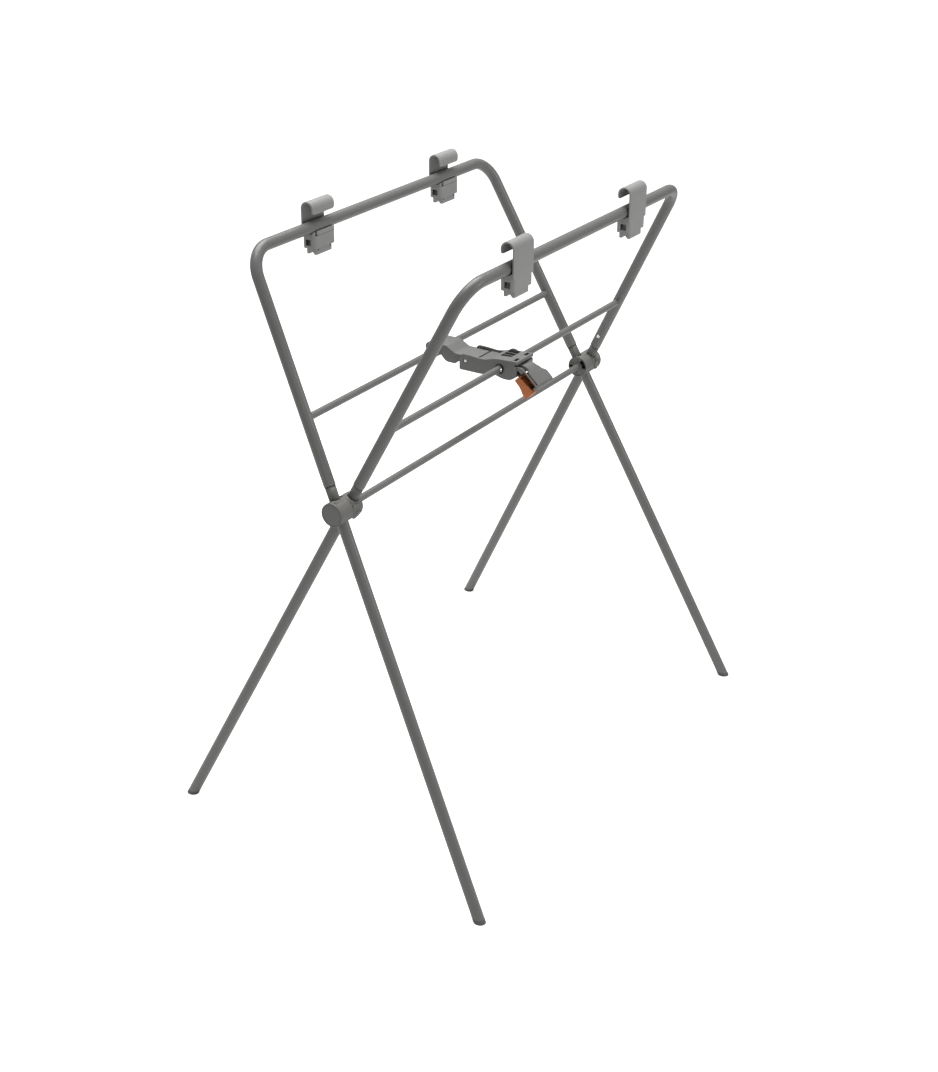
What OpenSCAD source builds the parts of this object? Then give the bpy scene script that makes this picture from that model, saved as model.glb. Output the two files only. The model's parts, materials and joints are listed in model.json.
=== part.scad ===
// Folding baby bath stand. Millimetres, standing on z = 0, rails along Y, frames spread along X.
// Frame B leans to +X. Frame A is the same frame turned half a turn about the vertical.

/* [Frames] */
// Height of the hub axis above the floor
hub_height = 573; // [550:1:595]
// Lean of each frame from the vertical, degrees
lean_angle = 26.7; // [25:0.1:28.5]
// Distance between the parting faces of the two hubs
hub_span = 718; // [700:1:740]
// Distance between the corner points of the upper tube
rail_span = 637; // [620:1:655]
// Distance from the hub axis up to the rail, along the frame
upright_len = 391; // [370:1:410]
// Distance from the hub axis up to the cross tube, along the frame
cross_up = 141; // [136:1:146]
// Outer diameter of the frame tubes
tube_d = 18; // [17.5:0.1:18.5]
// Wall of the frame tubes
tube_wall = 1.2; // [1:0.1:1.4]
// Bend radius of the upper tube, at its axis
bend_r = 45; // [38:1:52]
// How much the tube's wall swells in its bends, outside and inside
bend_swell = 0.03; // [0.02:0.01:0.06]
// Outer diameter of the cross tubes
cross_d = 11; // [10:0.2:12]
// Wall of the cross tubes
cross_wall = 1; // [0.8:0.1:1.3]
// Outer diameter of the axle tube
axle_d = 11; // [10.4:0.2:12]
// Length of tube that the axle tube enters in each hub
axle_entry = 9; // [6:0.5:11]

/* [Feet] */
// Height of the foot plug that shows under a leg
foot_band = 7; // [4:0.5:10]
// Length of the foot plug inside the leg
foot_plug_len = 24; // [16:1:30]

/* [Hubs] */
// Diameter of the hub barrels
hub_d = 37; // [36:0.5:39]
// Length of an inner hub half along the axle
hub_inner_len = 23.6; // [23:0.2:25]
// Length of an outer hub half along the axle
hub_outer_len = 25; // [24:0.5:28]
// Gap between the two halves of a hub
hub_gap = 0.4; // [0.3:0.1:0.6]
// Width of the block that holds the tube stubs
block_w = 26; // [24:0.5:28]
// Distance from the hub axis to the block's flat ends
block_reach = 15; // [14:0.5:17]
// Diameter of the stubs that join the tubes to the hubs
stub_d = 16.5; // [16.2:0.1:16.8]
// Distance from the hub axis to the inner ends of the stubs and legs
stub_start = 9; // [8:0.5:11]
// Distance from the hub axis to the end of a frame tube
tube_start = 39; // [35:1:44]
// Length of stub inside the frame tube
stub_grip = 32; // [29:1:40]
// Depth of the dark gap round a stub where it leaves its block
mouth_depth = 3; // [1:0.5:5]
// Width of the dark gap round a stub
mouth_gap = 0.6; // [0.3:0.1:0.7]
// Thickness of a hub cap
cap_t = 4; // [3:0.5:6]
// Radial width of the light ring round a cap's centre
cap_ring_w = 2.4; // [1.5:0.1:3.5]
// Width of the groove in a cap's face
cap_groove_w = 1.2; // [0.8:0.1:2]
// Depth of the groove in a cap's face
cap_groove_depth = 0.8; // [0.4:0.1:1.5]
// Depth of the cap's seat in the outer hub half
cap_seat_depth = 2; // [1:0.5:2.5]
// Diameter of the cap's seat
cap_seat_d = 24; // [20:0.5:28]
// Diameter of the pivot bolts
bolt_d = 8; // [7:0.2:8.4]
// Diameter of a pivot bolt's head
bolt_head_d = 15; // [13:0.5:17]
// Thickness of a pivot bolt's head
bolt_head_t = 4; // [3:0.5:4.5]
// Length of a pivot bolt's end inside the axle tube
bolt_grip = 22; // [15:1:30]
// Wall of the rim round the open end of an inner hub half
rim_wall = 2.2; // [1.6:0.1:3]
// Diameter of the collar round the axle tube
axle_collar_d = 16.6; // [15:0.2:18]
// Depth of the side pockets in the open end
rim_depth = 4; // [2:0.5:4.5]
// Depth of the recess over and under the axle tube
rim_shallow = 0.8; // [0.4:0.1:1]
// Thickness of the ribs in the open end
rib_t = 2; // [1.4:0.1:3]
// Diameter of the domed screw covers
cover_d = 13.5; // [12:0.5:14.5]
// Turn of the screw covers up from square to the frame, degrees
cover_turn = 22; // [15:1:28]
// Distance from the hub axis to the face round a screw cover
cover_face = 19.2; // [18.8:0.1:20]
// Height of a screw cover's dome above the face round it
cover_dome = 0.8; // [0.4:0.1:1.4]
// Width of the ring recess round a screw cover
cover_ring_w = 1.7; // [1:0.1:2]
// Depth of the ring recess round a screw cover
cover_ring_depth = 1; // [0.5:0.1:1.6]
// Depth of a screw cover's seat
cover_seat = 3; // [2:0.2:3.6]
// Distance from the hub axis to the frame rivet
rivet_up = 64; // [57:1:65]
// Diameter of the frame rivets and of the rivet on the cross tube
rivet_d = 4.8; // [4:0.1:5.4]

/* [Hooks] */
// Distance from the stand's middle to the hook on a rail's inner-hub side
hook_inner_y = 177.5; // [170:0.5:190]
// Distance from the stand's middle to the hook on a rail's outer-hub side
hook_outer_y = 165; // [155:0.5:175]
// Width of a hook's strap along the rail
hook_w = 54; // [50:1:58]
// Wall of a hook
hook_wall = 2.5; // [2:0.1:3]
// Distance from the rail's axis to a hook's outer face
hook_out = 13; // [12.5:0.1:14]
// Distance from the rail's axis to the inner face of a hook's belt
belt_in = 10.7; // [10.2:0.1:12]
// Outer radius of a hook's curl
curl_r = 11; // [10:0.5:12]
// Height of the curl's centre above the rail's axis
curl_up = 28.2; // [26:0.2:31]
// Length of the tongue that hangs from the curl
tongue_len = 8; // [6:0.5:9]
// Corner radius of the tongue
tongue_round = 5; // [3:0.5:7]
// Length of a hook's belt along the rail
belt_len = 52; // [49:1:54]
// Depth of the belt's top edge under the rail's axis
belt_top = 12.3; // [12:0.1:13]
// Height of the belt
belt_h = 19.5; // [17:0.5:21]
// Corner radius of the belt
belt_round = 5.5; // [4:0.5:7]
// Height of the belt's end walls above its top edge
belt_ear = 6; // [3:0.5:8]
// Gap between the belt's end walls and the rail
belt_rail_gap = 1.2; // [0.6:0.1:2]
// Width of the window in a belt's end wall
window_w = 10; // [7:0.5:12]
// Height of the window in a belt's end wall
window_h = 9.5; // [7:0.5:11]
// Height of the window above the belt's lower edge
window_up = 4; // [3:0.5:6]
// Length of a saddle along the rail
saddle_len = 38; // [34:1:42]
// Depth of a saddle's feet under the rail's axis
saddle_drop = 42.3; // [40:0.5:46]
// Depth of a saddle's lip under the rail's axis
lip_drop = 5.3; // [4:0.1:6]
// Width of the notch between a saddle's feet
notch_w = 11; // [8:0.5:13]
// Height of the notch between a saddle's feet
notch_h = 6; // [4:0.5:8]
// Width of the slots in a saddle's inner face
slot_w = 2; // [1.4:0.1:3]
// Height of the slots in a saddle's inner face
slot_h = 19; // [14:1:22]
// Depth of the slots in a saddle's inner face
slot_depth = 2; // [1:0.1:3]
// Distance from a slot to the saddle's end
slot_in = 4; // [3:0.5:6]
// Distance between a saddle's two screws
screw_pitch = 20; // [16:1:24]
// Diameter of the saddle screws
screw_d = 4; // [3.5:0.1:4.5]
// Diameter of a saddle screw's head
screw_head_d = 7.4; // [6.5:0.1:8]
// Thickness of a saddle screw's head
screw_head_t = 2.6; // [2:0.1:3.2]
// Thickness of saddle between a screw's head and the rail
screw_seat_t = 8; // [6:0.5:10]
// Length of a saddle screw inside the rail
screw_in = 5; // [3:0.5:6]

/* [Strut] */
// Distance from the stand's middle plane to the strut's middle, along the rails
strut_y = 7.5; // [4:0.5:11]
// Width of the link
link_w = 42; // [38:0.5:44]
// Gap between the link and the arm's cheeks
link_side_gap = 1; // [0.6:0.1:1.6]
// Thickness of the arm's cheeks
cheek_t = 3; // [2.4:0.1:4]
// Diameter of the link's collar
link_collar_d = 18; // [17:0.5:20]
// Height of the link's shoulder above its axis
link_rise = 16.5; // [15:0.5:17]
// Distance from the toggle pin to the link's shoulder
shoulder_back = 38; // [36:0.5:42]
// Distance from the toggle pin to the foot of the shoulder
shoulder_foot = 21; // [18:0.5:24]
// Radius of the link's round heel behind cross tube A
heel_r = 8; // [7:0.5:9]
// Distance from cross tube A out to the heel's centre
heel_out = 5.5; // [4:0.5:7]
// Depth of the link's body under its axis
link_drop = 10; // [8:0.5:11]
// Distance from the toggle pin to the end of the link's body
body_back = 20.5; // [20:0.5:23]
// Height of the link's tongue above its axis, over the pin
tongue_rise = 7; // [6:0.2:7.6]
// Gap between the end of the link's tongue and the arm's lid
tongue_gap = 4; // [3.8:0.1:6]
// Distance from the pin's axis back to the start of the slit beside the tongue
slit_back = 9; // [7:0.5:12]
// Depth of the tongue's lip under the pin's axis
tongue_lip = 2; // [0.5:0.1:3]
// Diameter of the toggle pin
pin_d = 7; // [6:0.2:7.6]
// Gap between the toggle pin and the link's open seat
pin_gap = 0.1; // [0.06:0.01:0.2]
// Length of the arm beyond the toggle pin
arm_over = 10.8; // [9:0.2:13]
// Height of the arm's cheeks above its axis
arm_rise = 10.8; // [9:0.2:12]
// Depth of the arm's cheeks under its axis
arm_drop = 16; // [14:0.5:18]
// Height of the shallow arch under the arm
arch_h = 4; // [2:0.5:5]
// Height of the arm's blunt end above its axis
arm_end_rise = 3.6; // [2:0.2:6]
// Length of the rise from the arm's blunt end to its top
arm_end_len = 5.4; // [4:0.2:8]
// Depth of the dip in the cheeks' top edge
arm_dip = 2; // [1:0.2:3]
// Depth of the arm's cross wall under the cheeks' top edge
wall_inset = 3; // [2:0.2:4]
// Distance from the toggle pin to the lid between the cheeks
lid_from_pin = 22.4; // [22.4:0.2:26]
// Height of the lid between the cheeks above the arm's axis
lid_top = 7.8; // [6:0.2:7.8]
// Thickness of the lid between the cheeks
lid_t = 3; // [2:0.2:4]
// Gap between the lid and the far cheek
lid_gap = 4; // [3:0.5:6]
// Distance from the toggle pin to the arm's cross wall
wall_from_pin = 33; // [31:0.5:35]
// Height of the housing above the arm's axis
house_rise = 17; // [15:0.5:18]
// Length of the housing beyond the cross tube, to the grip
house_out = 31.6; // [30:0.2:34]
// Distance from the cross tube back to the housing's inner end
house_in = 19; // [17:0.5:20]
// Distance from the cross tube back to the housing's raised top
house_top_in = 8.3; // [6:0.1:12]
// Diameter of the ring recess round the cross tube
ring_d = 16.5; // [15:0.5:18]
// Depth of the ring recess round the cross tube
ring_depth = 2.2; // [1:0.1:2.6]
// Width of the two slots in the housing's top
top_slot_w = 6; // [4:0.5:7]
// Length of the two slots in the housing's top
top_slot_len = 12; // [8:0.5:14]
// Depth of the openings in the housing's top
top_slot_depth = 5; // [3:0.1:5.2]
// Length of the pocket in the housing's top
pocket_len = 20; // [16:0.5:22]
// Width of the pocket in the housing's top
pocket_w = 30; // [24:0.5:30]
// Distance from the strut's middle to the pocket's middle
pocket_off = 7; // [5:0.5:8]
// Thickness of the ribs across the pocket
pocket_rib_t = 1.6; // [1.2:0.1:2.2]
// Diameter of the latch collar on the cross tube
latch_d = 18; // [17:0.2:19]
// Length of the latch collar
latch_len = 16; // [14:0.5:20]
// Width of the notch in the latch collar
latch_notch_w = 6; // [5.6:0.1:7]
// Distance from the cross tube's axis out to the middle of the notch
latch_notch_out = 4.5; // [4:0.1:5]
// Depth of the notch in the latch collar
latch_notch_depth = 2; // [1.4:0.1:2.6]
// Distance from the strut's side to the rivet on the cross tube
stop_rivet_off = 4; // [3:0.5:8]

/* [Grip and trigger] */
// Slope of the grip under the horizontal, degrees
grip_slope = 43; // [40:0.5:46]
// Length of the grip down its slope
grip_len = 40; // [38:0.5:44]
// Thickness of the grip
grip_t = 8.5; // [7.5:0.5:10]
// Width of the grip
grip_w = 50; // [46:0.5:52]
// Wall at the grip's sides and end
grip_wall = 3; // [2.4:0.1:3.4]
// Depth of the hollow under the grip
grip_hollow = 4.5; // [3:0.1:5]
// Distance from the trigger's pivot up to the grip, square to its slope
grip_off = 16.5; // [16:0.1:18]
// Height of the grip's level root above the arm's axis
grip_rise = 8.5; // [8:0.1:9]
// Length of the tenon that holds the grip in the housing
tenon_len = 9; // [6:0.5:9.6]
// Height of the tenon
tenon_h = 4.6; // [4:0.1:4.8]
// Height of the tenon's lower face above the arm's axis
tenon_low = 3.3; // [3.2:0.1:3.4]
// Width of the tenon
tenon_w = 30; // [24:1:34]
// Width of the slot along the grip's near edge
edge_slot_w = 4.5; // [3:0.5:5]
// Width and depth of the rim outside the slot
edge_rim = 2; // [1.6:0.1:2.4]
// Distance that the grip's far edge is drawn in at its root
waist_in = 14; // [10:0.5:16]
// Distance down the slope to the grip's full width
waist_len = 22; // [18:0.5:26]
// Distance from the cross tube out to the trigger's pivot
pivot_out = 22.6; // [22:0.2:24]
// Depth of the trigger's pivot under the arm's axis
pivot_drop = 9; // [8.6:0.1:9.6]
// Diameter of the trigger pin
trigger_pin_d = 4; // [3.6:0.1:4.4]
// Width of the trigger's paddle
trigger_w = 28.5; // [26:0.5:30]
// Distance from the strut's middle to the paddle's middle
trigger_off = 7.2; // [6:0.1:7.2]
// Width of the paddle's longer part, at its near side
paddle_long_w = 12.5; // [9:0.5:14]
// Difference in length between the paddle's longer and shorter parts
paddle_step = 3.4; // [2:0.2:4.4]
// Length of the trigger's paddle down the slope
trigger_len = 34; // [31:0.5:36]
// Depth of the trigger's paddle at its tip
trigger_tip_h = 19; // [16:0.5:21]
// Depth of the trigger's paddle at its root
trigger_root_h = 10; // [9:0.5:11]
// Gap between the trigger's tip and the grip
trigger_gap = 6; // [5.4:0.1:7]
// Fall of the trigger's top edge toward its root
trigger_taper = 4; // [3:0.2:5]
// Wall of the trigger's paddle
trigger_wall = 2.4; // [2:0.1:3]
// Width of the trigger's lever inside the housing
lever_w = 14; // [12:0.5:16]
// Thickness of the trigger's lever
lever_t = 4.4; // [4:0.1:5]
// Gap between the trigger's nose and the latch collar
nose_gap = 0.45; // [0.4:0.05:0.8]
// Gap between the trigger's lever and the slot that it moves in
lever_gap = 0.5; // [0.4:0.1:1]
// Diameter of the trigger spring's coil, at its wire's middle
spring_coil_d = 5.6; // [5.4:0.1:6]
// Diameter of the trigger spring's wire
spring_wire_d = 0.8; // [0.6:0.05:1]
// Turns of the trigger spring
spring_turns = 4; // [3:1:5]
// Distance between two turns of the trigger spring
spring_pitch = 1.4; // [1.3:0.1:1.6]

/* [Fits] */
// Radial gap of turned and pressed fits
fit_gap = 0.05; // [0.03:0.01:0.08]
// Gap between pieces that slide or lie side by side
slide_gap = 0.3; // [0.3:0.05:0.5]
// Gap left for the weld at the cross tubes' ends
weld_gap = 0.05; // [0.02:0.01:0.1]

/* [Hidden] */
$fn = 48;
tube_color = [0.39, 0.39, 0.38];
plastic_color = [0.55, 0.55, 0.53];
dark_color = [0.2, 0.2, 0.2];
steel_color = [0.7, 0.7, 0.68];
trigger_color = [0.75, 0.45, 0.25];
// Allowance for cuts that run out through a face
over = 1;
// Larger than any piece of the stand
far_away = 2000;
tube_r = tube_d / 2;
bore_r = tube_r - tube_wall;
// Frame plane: y along the rails, z up the frame
half_hub = hub_span / 2;
half_rail = rail_span / 2;
splay = atan((half_hub - half_rail) / upright_len);
turn = 90 - splay;
tangent = bend_r * tan(turn / 2);
// How far a straight length reaches into the swelled bend
bend_lap = 0.5;
corner_len = upright_len / cos(splay);
frame_offset = hub_inner_len / 2;
floor_len = hub_height / (cos(splay) * cos(lean_angle));
cross_half = half_hub - cross_up * tan(splay);
bar_x = cross_up * sin(lean_angle);
bar_z = hub_height + cross_up * cos(lean_angle);
cross_r = cross_d / 2;
axle_r = axle_d / 2;
// Hubs, measured along the axle in a frame's own place
hub_r = hub_d / 2;
outer_start = half_hub - frame_offset + hub_gap / 2;
outer_end = half_hub - frame_offset + hub_outer_len;
inner_start = half_hub - frame_offset;
inner_end = half_hub + frame_offset - hub_gap / 2;
head_seat = outer_end - cap_seat_depth - slide_gap - bolt_head_t;
axle_half = half_hub - hub_inner_len + axle_entry;
bolt_r = bolt_d / 2;
stub_r = stub_d / 2;
cover_r = cover_d / 2;
cover_pad_wall = 1.2;
rivet_r = rivet_d / 2;
// How far a rivet reaches into what it holds
rivet_in = 3;
rivet_head_h = 1.2;
stop_rivet_y = -strut_y - link_w / 2 - link_side_gap - cheek_t - stop_rivet_off;
// Hooks, seen along the rail with the rail's axis at the origin
belt_bottom = belt_top + belt_h;
curl_x = hook_out - curl_r;
saddle_in = belt_in - hook_wall - slide_gap;
saddle_out = hook_out - hook_wall - slide_gap;
saddle_mid = (saddle_out - saddle_in) / 2;
hook_inner_along = -hook_inner_y - frame_offset;
hook_outer_along = hook_outer_y - frame_offset;
screw_r = screw_d / 2;
screw_head_z = tube_r + screw_seat_t;
// Strut, seen along the rails
arm_inner_w = link_w + 2 * link_side_gap;
arm_w = arm_inner_w + 2 * cheek_t;
tongue_over = lid_from_pin - tongue_gap;
pin_r = pin_d / 2;
pin_seat_r = pin_r + pin_gap;
latch_r = latch_d / 2;
cavity_r = latch_r + lever_gap;
trigger_pin_r = trigger_pin_d / 2;
lever_boss_r = 4;
lever_neck_half = 3.4;
lever_slot_top = lever_boss_r + lever_gap - pivot_drop;
nose_top = -latch_r - nose_gap;
nose_len = 4;
nose_x = latch_notch_out - nose_len / 2;
toe_set = 2.2;
heel_set = 4.4;
top_slot_off = 15;
top_slot_x = house_out - 7;
pocket_ribs = 2;
// Distance down the slope from the trigger's pivot to the slot in the grip
slot_root = 7;
// Distance down the slope from the trigger's pivot to the root of its paddle
paddle_root = 6.5;
paddle_end = paddle_root + trigger_len;
paddle_top = grip_off - trigger_gap;
spring_r = spring_coil_d / 2;
spring_start = lever_w / 2 + lever_gap + spring_wire_d;
spring_room_r = spring_r + spring_wire_d;
spring_room_end = spring_start + spring_turns * spring_pitch + 2 * spring_wire_d;
trigger_pin_end = arm_w / 2 - cheek_t;
coil_rings = 8;
wire_sides = 6;

// ---- Placing ----
module frame_b() {
  translate([0, frame_offset, hub_height]) rotate([0, lean_angle, 0]) children();
}

module frame_a() {
  rotate([0, 0, 180]) frame_b() children();
}

// The hub end of a frame's tubes at +Y (end = 1) or -Y (end = -1), with +Z up the tubes
module tube_axis(end) {
  translate([0, end * half_hub, 0]) rotate([end * splay, 0, 0]) children();
}

// A place on the rail's axis, with x outward and z straight up
module on_rail(along) {
  translate([0, along, upright_len]) rotate([0, -lean_angle, 0]) children();
}

module above_floor(height) {
  difference() {
    children();
    translate([-far_away / 2, -far_away / 2, height - far_away]) cube(far_away);
  }
}

// The strut's middle plane, at cross tube A (side = -1), the toggle pin (0) or cross tube B (1)
module strut_place(side) {
  translate([side * bar_x, -strut_y, bar_z]) children();
}

// A profile drawn in x and z, given a width along y
module along_y(width) {
  rotate([90, 0, 0]) linear_extrude(width, center = true) children();
}

module y_rod(r, from, to) {
  translate([0, from, 0]) rotate([-90, 0, 0]) cylinder(r = r, h = to - from);
}

module x_rod(r, from, to) {
  translate([from, 0, 0]) rotate([0, 90, 0]) cylinder(r = r, h = to - from);
}

module z_rod(r, from, to) {
  translate([0, 0, from]) cylinder(r = r, h = to - from);
}

// ---- Frame tubes ----
module rivet_place() {
  tube_axis(1) rotate([0, 0, -90]) translate([tube_r, 0, rivet_up]) children();
}

module rivet_bore() {
  rivet_place() x_rod(rivet_r + fit_gap, -rivet_in - fit_gap, over);
}

// The places of a rail's saddle screws, with x outward and z straight up
module screw_places() {
  for (along = [hook_inner_along, hook_outer_along], side = [-1, 1])
    on_rail(along) translate([0, side * screw_pitch / 2, 0]) children();
}

module rail_straight() {
  straight = half_rail - tangent + bend_lap;
  difference() {
    translate([0, 0, upright_len]) difference() {
      y_rod(tube_r, -straight, straight);
      y_rod(bore_r, -straight - over, straight + over);
    }
    screw_places() z_rod(screw_r + fit_gap, -tube_r - over, over - bore_r);
  }
}

// The bend's centre, with the bend turning from x to y
module bend_place() {
  translate([0, half_rail - tangent, upright_len - bend_r]) rotate([0, -90, 0]) children();
}

module rail_bend() {
  bend_place() rotate_extrude(angle = turn) translate([bend_r, 0]) difference() {
    circle(r = tube_r + bend_swell);
    circle(r = bore_r - bend_swell);
  }
}

module upright() {
  bend_place() rotate([0, 0, turn]) translate([bend_r, 0, 0]) difference() {
    y_rod(tube_r, -bend_lap, corner_len - tangent - tube_start);
    y_rod(bore_r, -bend_lap - over, corner_len - tangent - tube_start + over);
  }
}

module rail_tube() {
  difference() {
    union() {
      rail_straight();
      for (end = [0, 180]) rotate([0, 0, end]) {
        rail_bend();
        upright();
      }
    }
    rivet_bore();
  }
}

module cross_tube(with_rivet) {
  difference() {
    translate([0, 0, cross_up]) difference() {
      y_rod(cross_r, -cross_half, cross_half);
      y_rod(cross_r - cross_wall, -cross_half - over, cross_half + over);
    }
    for (end = [-1, 1]) tube_axis(end) z_rod(tube_r + weld_gap, 0, 2 * cross_up);
    if (with_rivet) stop_rivet_place() x_rod(rivet_r + fit_gap, -rivet_in - fit_gap, over);
  }
}

// The rivet beside the strut, seen from frame B's own place
module stop_rivet_place() {
  translate([0, stop_rivet_y - frame_offset, cross_up]) rotate([0, -lean_angle, 0])
    translate([cross_r, 0, 0]) children();
}

module leg_bar(end, r, from, to) {
  tube_axis(end) z_rod(r, -to, -from);
}

module plug_bar(end, r) {
  leg_bar(end, r, floor_len - foot_plug_len, floor_len + tube_d);
}

module leg_tube(end) {
  difference() {
    leg_bar(end, tube_r, stub_start, floor_len + tube_d);
    leg_bar(end, bore_r, stub_start - over, floor_len + 2 * tube_d);
  }
}

module rail_tube_a() color(tube_color) frame_a() rail_tube();
module rail_tube_b() color(tube_color) frame_b() rail_tube();
module cross_tube_a() color(tube_color) frame_a() cross_tube(false);
module cross_tube_b() color(tube_color) frame_b() cross_tube(true);
module leg_tube_a_near() color(tube_color) above_floor(foot_band) frame_a() leg_tube(1);
module leg_tube_a_far() color(tube_color) above_floor(foot_band) frame_a() leg_tube(-1);
module leg_tube_b_near() color(tube_color) above_floor(foot_band) frame_b() leg_tube(-1);
module leg_tube_b_far() color(tube_color) above_floor(foot_band) frame_b() leg_tube(1);

// ---- Feet ----
module foot_band_of() {
  intersection() {
    children();
    translate([-far_away / 2, -far_away / 2, 0]) cube([far_away, far_away, foot_band]);
  }
}

module foot_plug_a(end) {
  foot_band_of() frame_a() plug_bar(end, tube_r);
  above_floor(foot_band - over) frame_a() plug_bar(end, bore_r - fit_gap);
}

module foot_plug_b(end) {
  rotate([0, 0, 180]) foot_plug_a(end);
}

module foot_plug_a_near() color(dark_color) foot_plug_a(1);
module foot_plug_a_far() color(dark_color) foot_plug_a(-1);
module foot_plug_b_near() color(dark_color) foot_plug_b(-1);
module foot_plug_b_far() color(dark_color) foot_plug_b(1);

// ---- Hubs ----
module hub_body(from, to) {
  y_rod(hub_r, from, to);
  intersection() {
    translate([-block_w / 2, from, -hub_d]) cube([block_w, to - from, 2 * hub_d]);
    tube_axis(1) cube([hub_d, far_away, 2 * block_reach], center = true);
  }
  cover_place() x_rod(cover_r + cover_ring_w + cover_pad_wall, 0, cover_face);
}

// The axis of a screw cover, with x outward
module cover_place() {
  translate([0, half_hub, 0]) rotate([0, -cover_turn, 0]) children();
}

// The upper socket holds a stub, and the lower one the leg itself
module tube_sockets() {
  tube_axis(1) {
    z_rod(stub_r + fit_gap, stub_start, hub_d);
    z_rod(stub_r + fit_gap + mouth_gap, block_reach - mouth_depth, hub_d);
    z_rod(tube_r + fit_gap, -hub_d, -stub_start);
  }
}

module cover_seat_cut() {
  cover_place() {
    x_rod(cover_r + fit_gap, cover_face - cover_seat, hub_d);
    x_rod(cover_r + cover_ring_w, cover_face - cover_ring_depth, hub_d);
  }
}

module hub_outer() {
  difference() {
    hub_body(outer_start, outer_end);
    tube_sockets();
    cover_seat_cut();
    y_rod(bolt_r + fit_gap, outer_start - over, outer_end);
    y_rod(bolt_head_d / 2 + fit_gap, head_seat, outer_end + over);
    y_rod(cap_seat_d / 2 + fit_gap, outer_end - cap_seat_depth, outer_end + over);
  }
}

module rim_ribs() {
  for (way = [45, 135]) translate([0, inner_start, 0]) rotate([0, way, 0])
    cube([2 * hub_d, 3 * rim_depth, rib_t], center = true);
}

module rim_ring(depth) {
  difference() {
    y_rod(hub_r - rim_wall, inner_start - over, inner_start + depth);
    y_rod(axle_collar_d / 2, inner_start - 2 * over, inner_start + hub_d);
    rim_ribs();
  }
}

module hub_inner() {
  mirror([0, 1, 0]) difference() {
    hub_body(inner_start, inner_end);
    tube_sockets();
    cover_seat_cut();
    y_rod(bolt_r + fit_gap, inner_start, inner_end + over);
    y_rod(axle_r + fit_gap, inner_start - over, inner_start + axle_entry + slide_gap);
    rim_ring(rim_shallow);
    intersection() {
      rim_ring(rim_depth);
      translate([0, inner_start, 0]) cube([2 * hub_d, hub_d, 2 * stub_start - 2 * over], center = true);
    }
  }
}

module hub_cap() {
  difference() {
    union() {
      y_rod(hub_r, outer_end, outer_end + cap_t);
      y_rod(cap_seat_d / 2, outer_end - cap_seat_depth, outer_end);
    }
    difference() {
      y_rod(hub_r - cap_ring_w, outer_end + cap_t - cap_groove_depth, outer_end + cap_t + over);
      y_rod(hub_r - cap_ring_w - cap_groove_w, outer_end, outer_end + cap_t + 2 * over);
    }
  }
}

module stub() {
  z_rod(stub_r, stub_start, tube_start);
  z_rod(bore_r - fit_gap, tube_start - over, tube_start + stub_grip);
}

module hub_stubs() {
  difference() {
    tube_axis(1) stub();
    rivet_bore();
  }
  tube_axis(-1) stub();
}

module screw_cover() {
  dome_h = cover_ring_depth + cover_dome;
  dome_r = (cover_r * cover_r + dome_h * dome_h) / (2 * dome_h);
  cover_place() intersection() {
    x_rod(cover_r, cover_face - cover_seat, cover_face + cover_dome);
    translate([cover_face + cover_dome - dome_r, 0, 0]) sphere(r = dome_r);
  }
}

module screw_covers() {
  screw_cover();
  mirror([0, 1, 0]) screw_cover();
}

module frame_rivet() {
  rivet_place() x_rod(rivet_r, -rivet_in, 0);
}

module pivot_bolt() {
  translate([0, frame_offset, hub_height]) {
    y_rod(bolt_d / 2, axle_half - frame_offset - bolt_grip, head_seat + fit_gap + over);
    y_rod(bolt_head_d / 2, head_seat + fit_gap, head_seat + bolt_head_t);
  }
}

module hub_outer_a() color(plastic_color) frame_a() hub_outer();
module hub_outer_b() color(plastic_color) frame_b() hub_outer();
module hub_inner_a() color(plastic_color) frame_a() hub_inner();
module hub_inner_b() color(plastic_color) frame_b() hub_inner();
module hub_cap_a() color(plastic_color) frame_a() hub_cap();
module hub_cap_b() color(plastic_color) frame_b() hub_cap();
module hub_stubs_a() color(dark_color) frame_a() hub_stubs();
module hub_stubs_b() color(dark_color) frame_b() hub_stubs();
module screw_covers_a() color(plastic_color) frame_a() screw_covers();
module screw_covers_b() color(plastic_color) frame_b() screw_covers();
module frame_rivet_a() color(steel_color) frame_a() frame_rivet();
module frame_rivet_b() color(steel_color) frame_b() frame_rivet();

module axle_tube() color(tube_color) translate([0, 0, hub_height]) difference() {
  y_rod(axle_r, -axle_half, axle_half);
  y_rod(bolt_r + fit_gap, -axle_half - over, axle_half + over);
}

module pivot_bolts() color(steel_color) {
  pivot_bolt();
  rotate([0, 0, 180]) pivot_bolt();
}

// ---- Hooks ----
module belt_outline(shrink) {
  r = belt_round - shrink;
  x_in = shrink - belt_in;
  x_out = hook_out - shrink;
  y_half = belt_len / 2 - shrink;
  translate([x_in + r, -y_half]) square([x_out - x_in - 2 * r, 2 * y_half]);
  translate([x_in, r - y_half]) square([x_out - x_in, 2 * (y_half - r)]);
  for (x = [x_in + r, x_out - r], y = [r - y_half, y_half - r]) translate([x, y]) circle(r = r);
}

module tongue_corner(side) {
  translate([0, side * (hook_w / 2 - tongue_round), curl_up - tongue_len + tongue_round]) difference() {
    translate([curl_x - curl_r - over, side > 0 ? 0 : -tongue_round - over, -tongue_round - over])
      cube([hook_wall + 2 * over, tongue_round + over, tongue_round + over]);
    x_rod(tongue_round, curl_x - hook_w, curl_x);
  }
}

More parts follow.
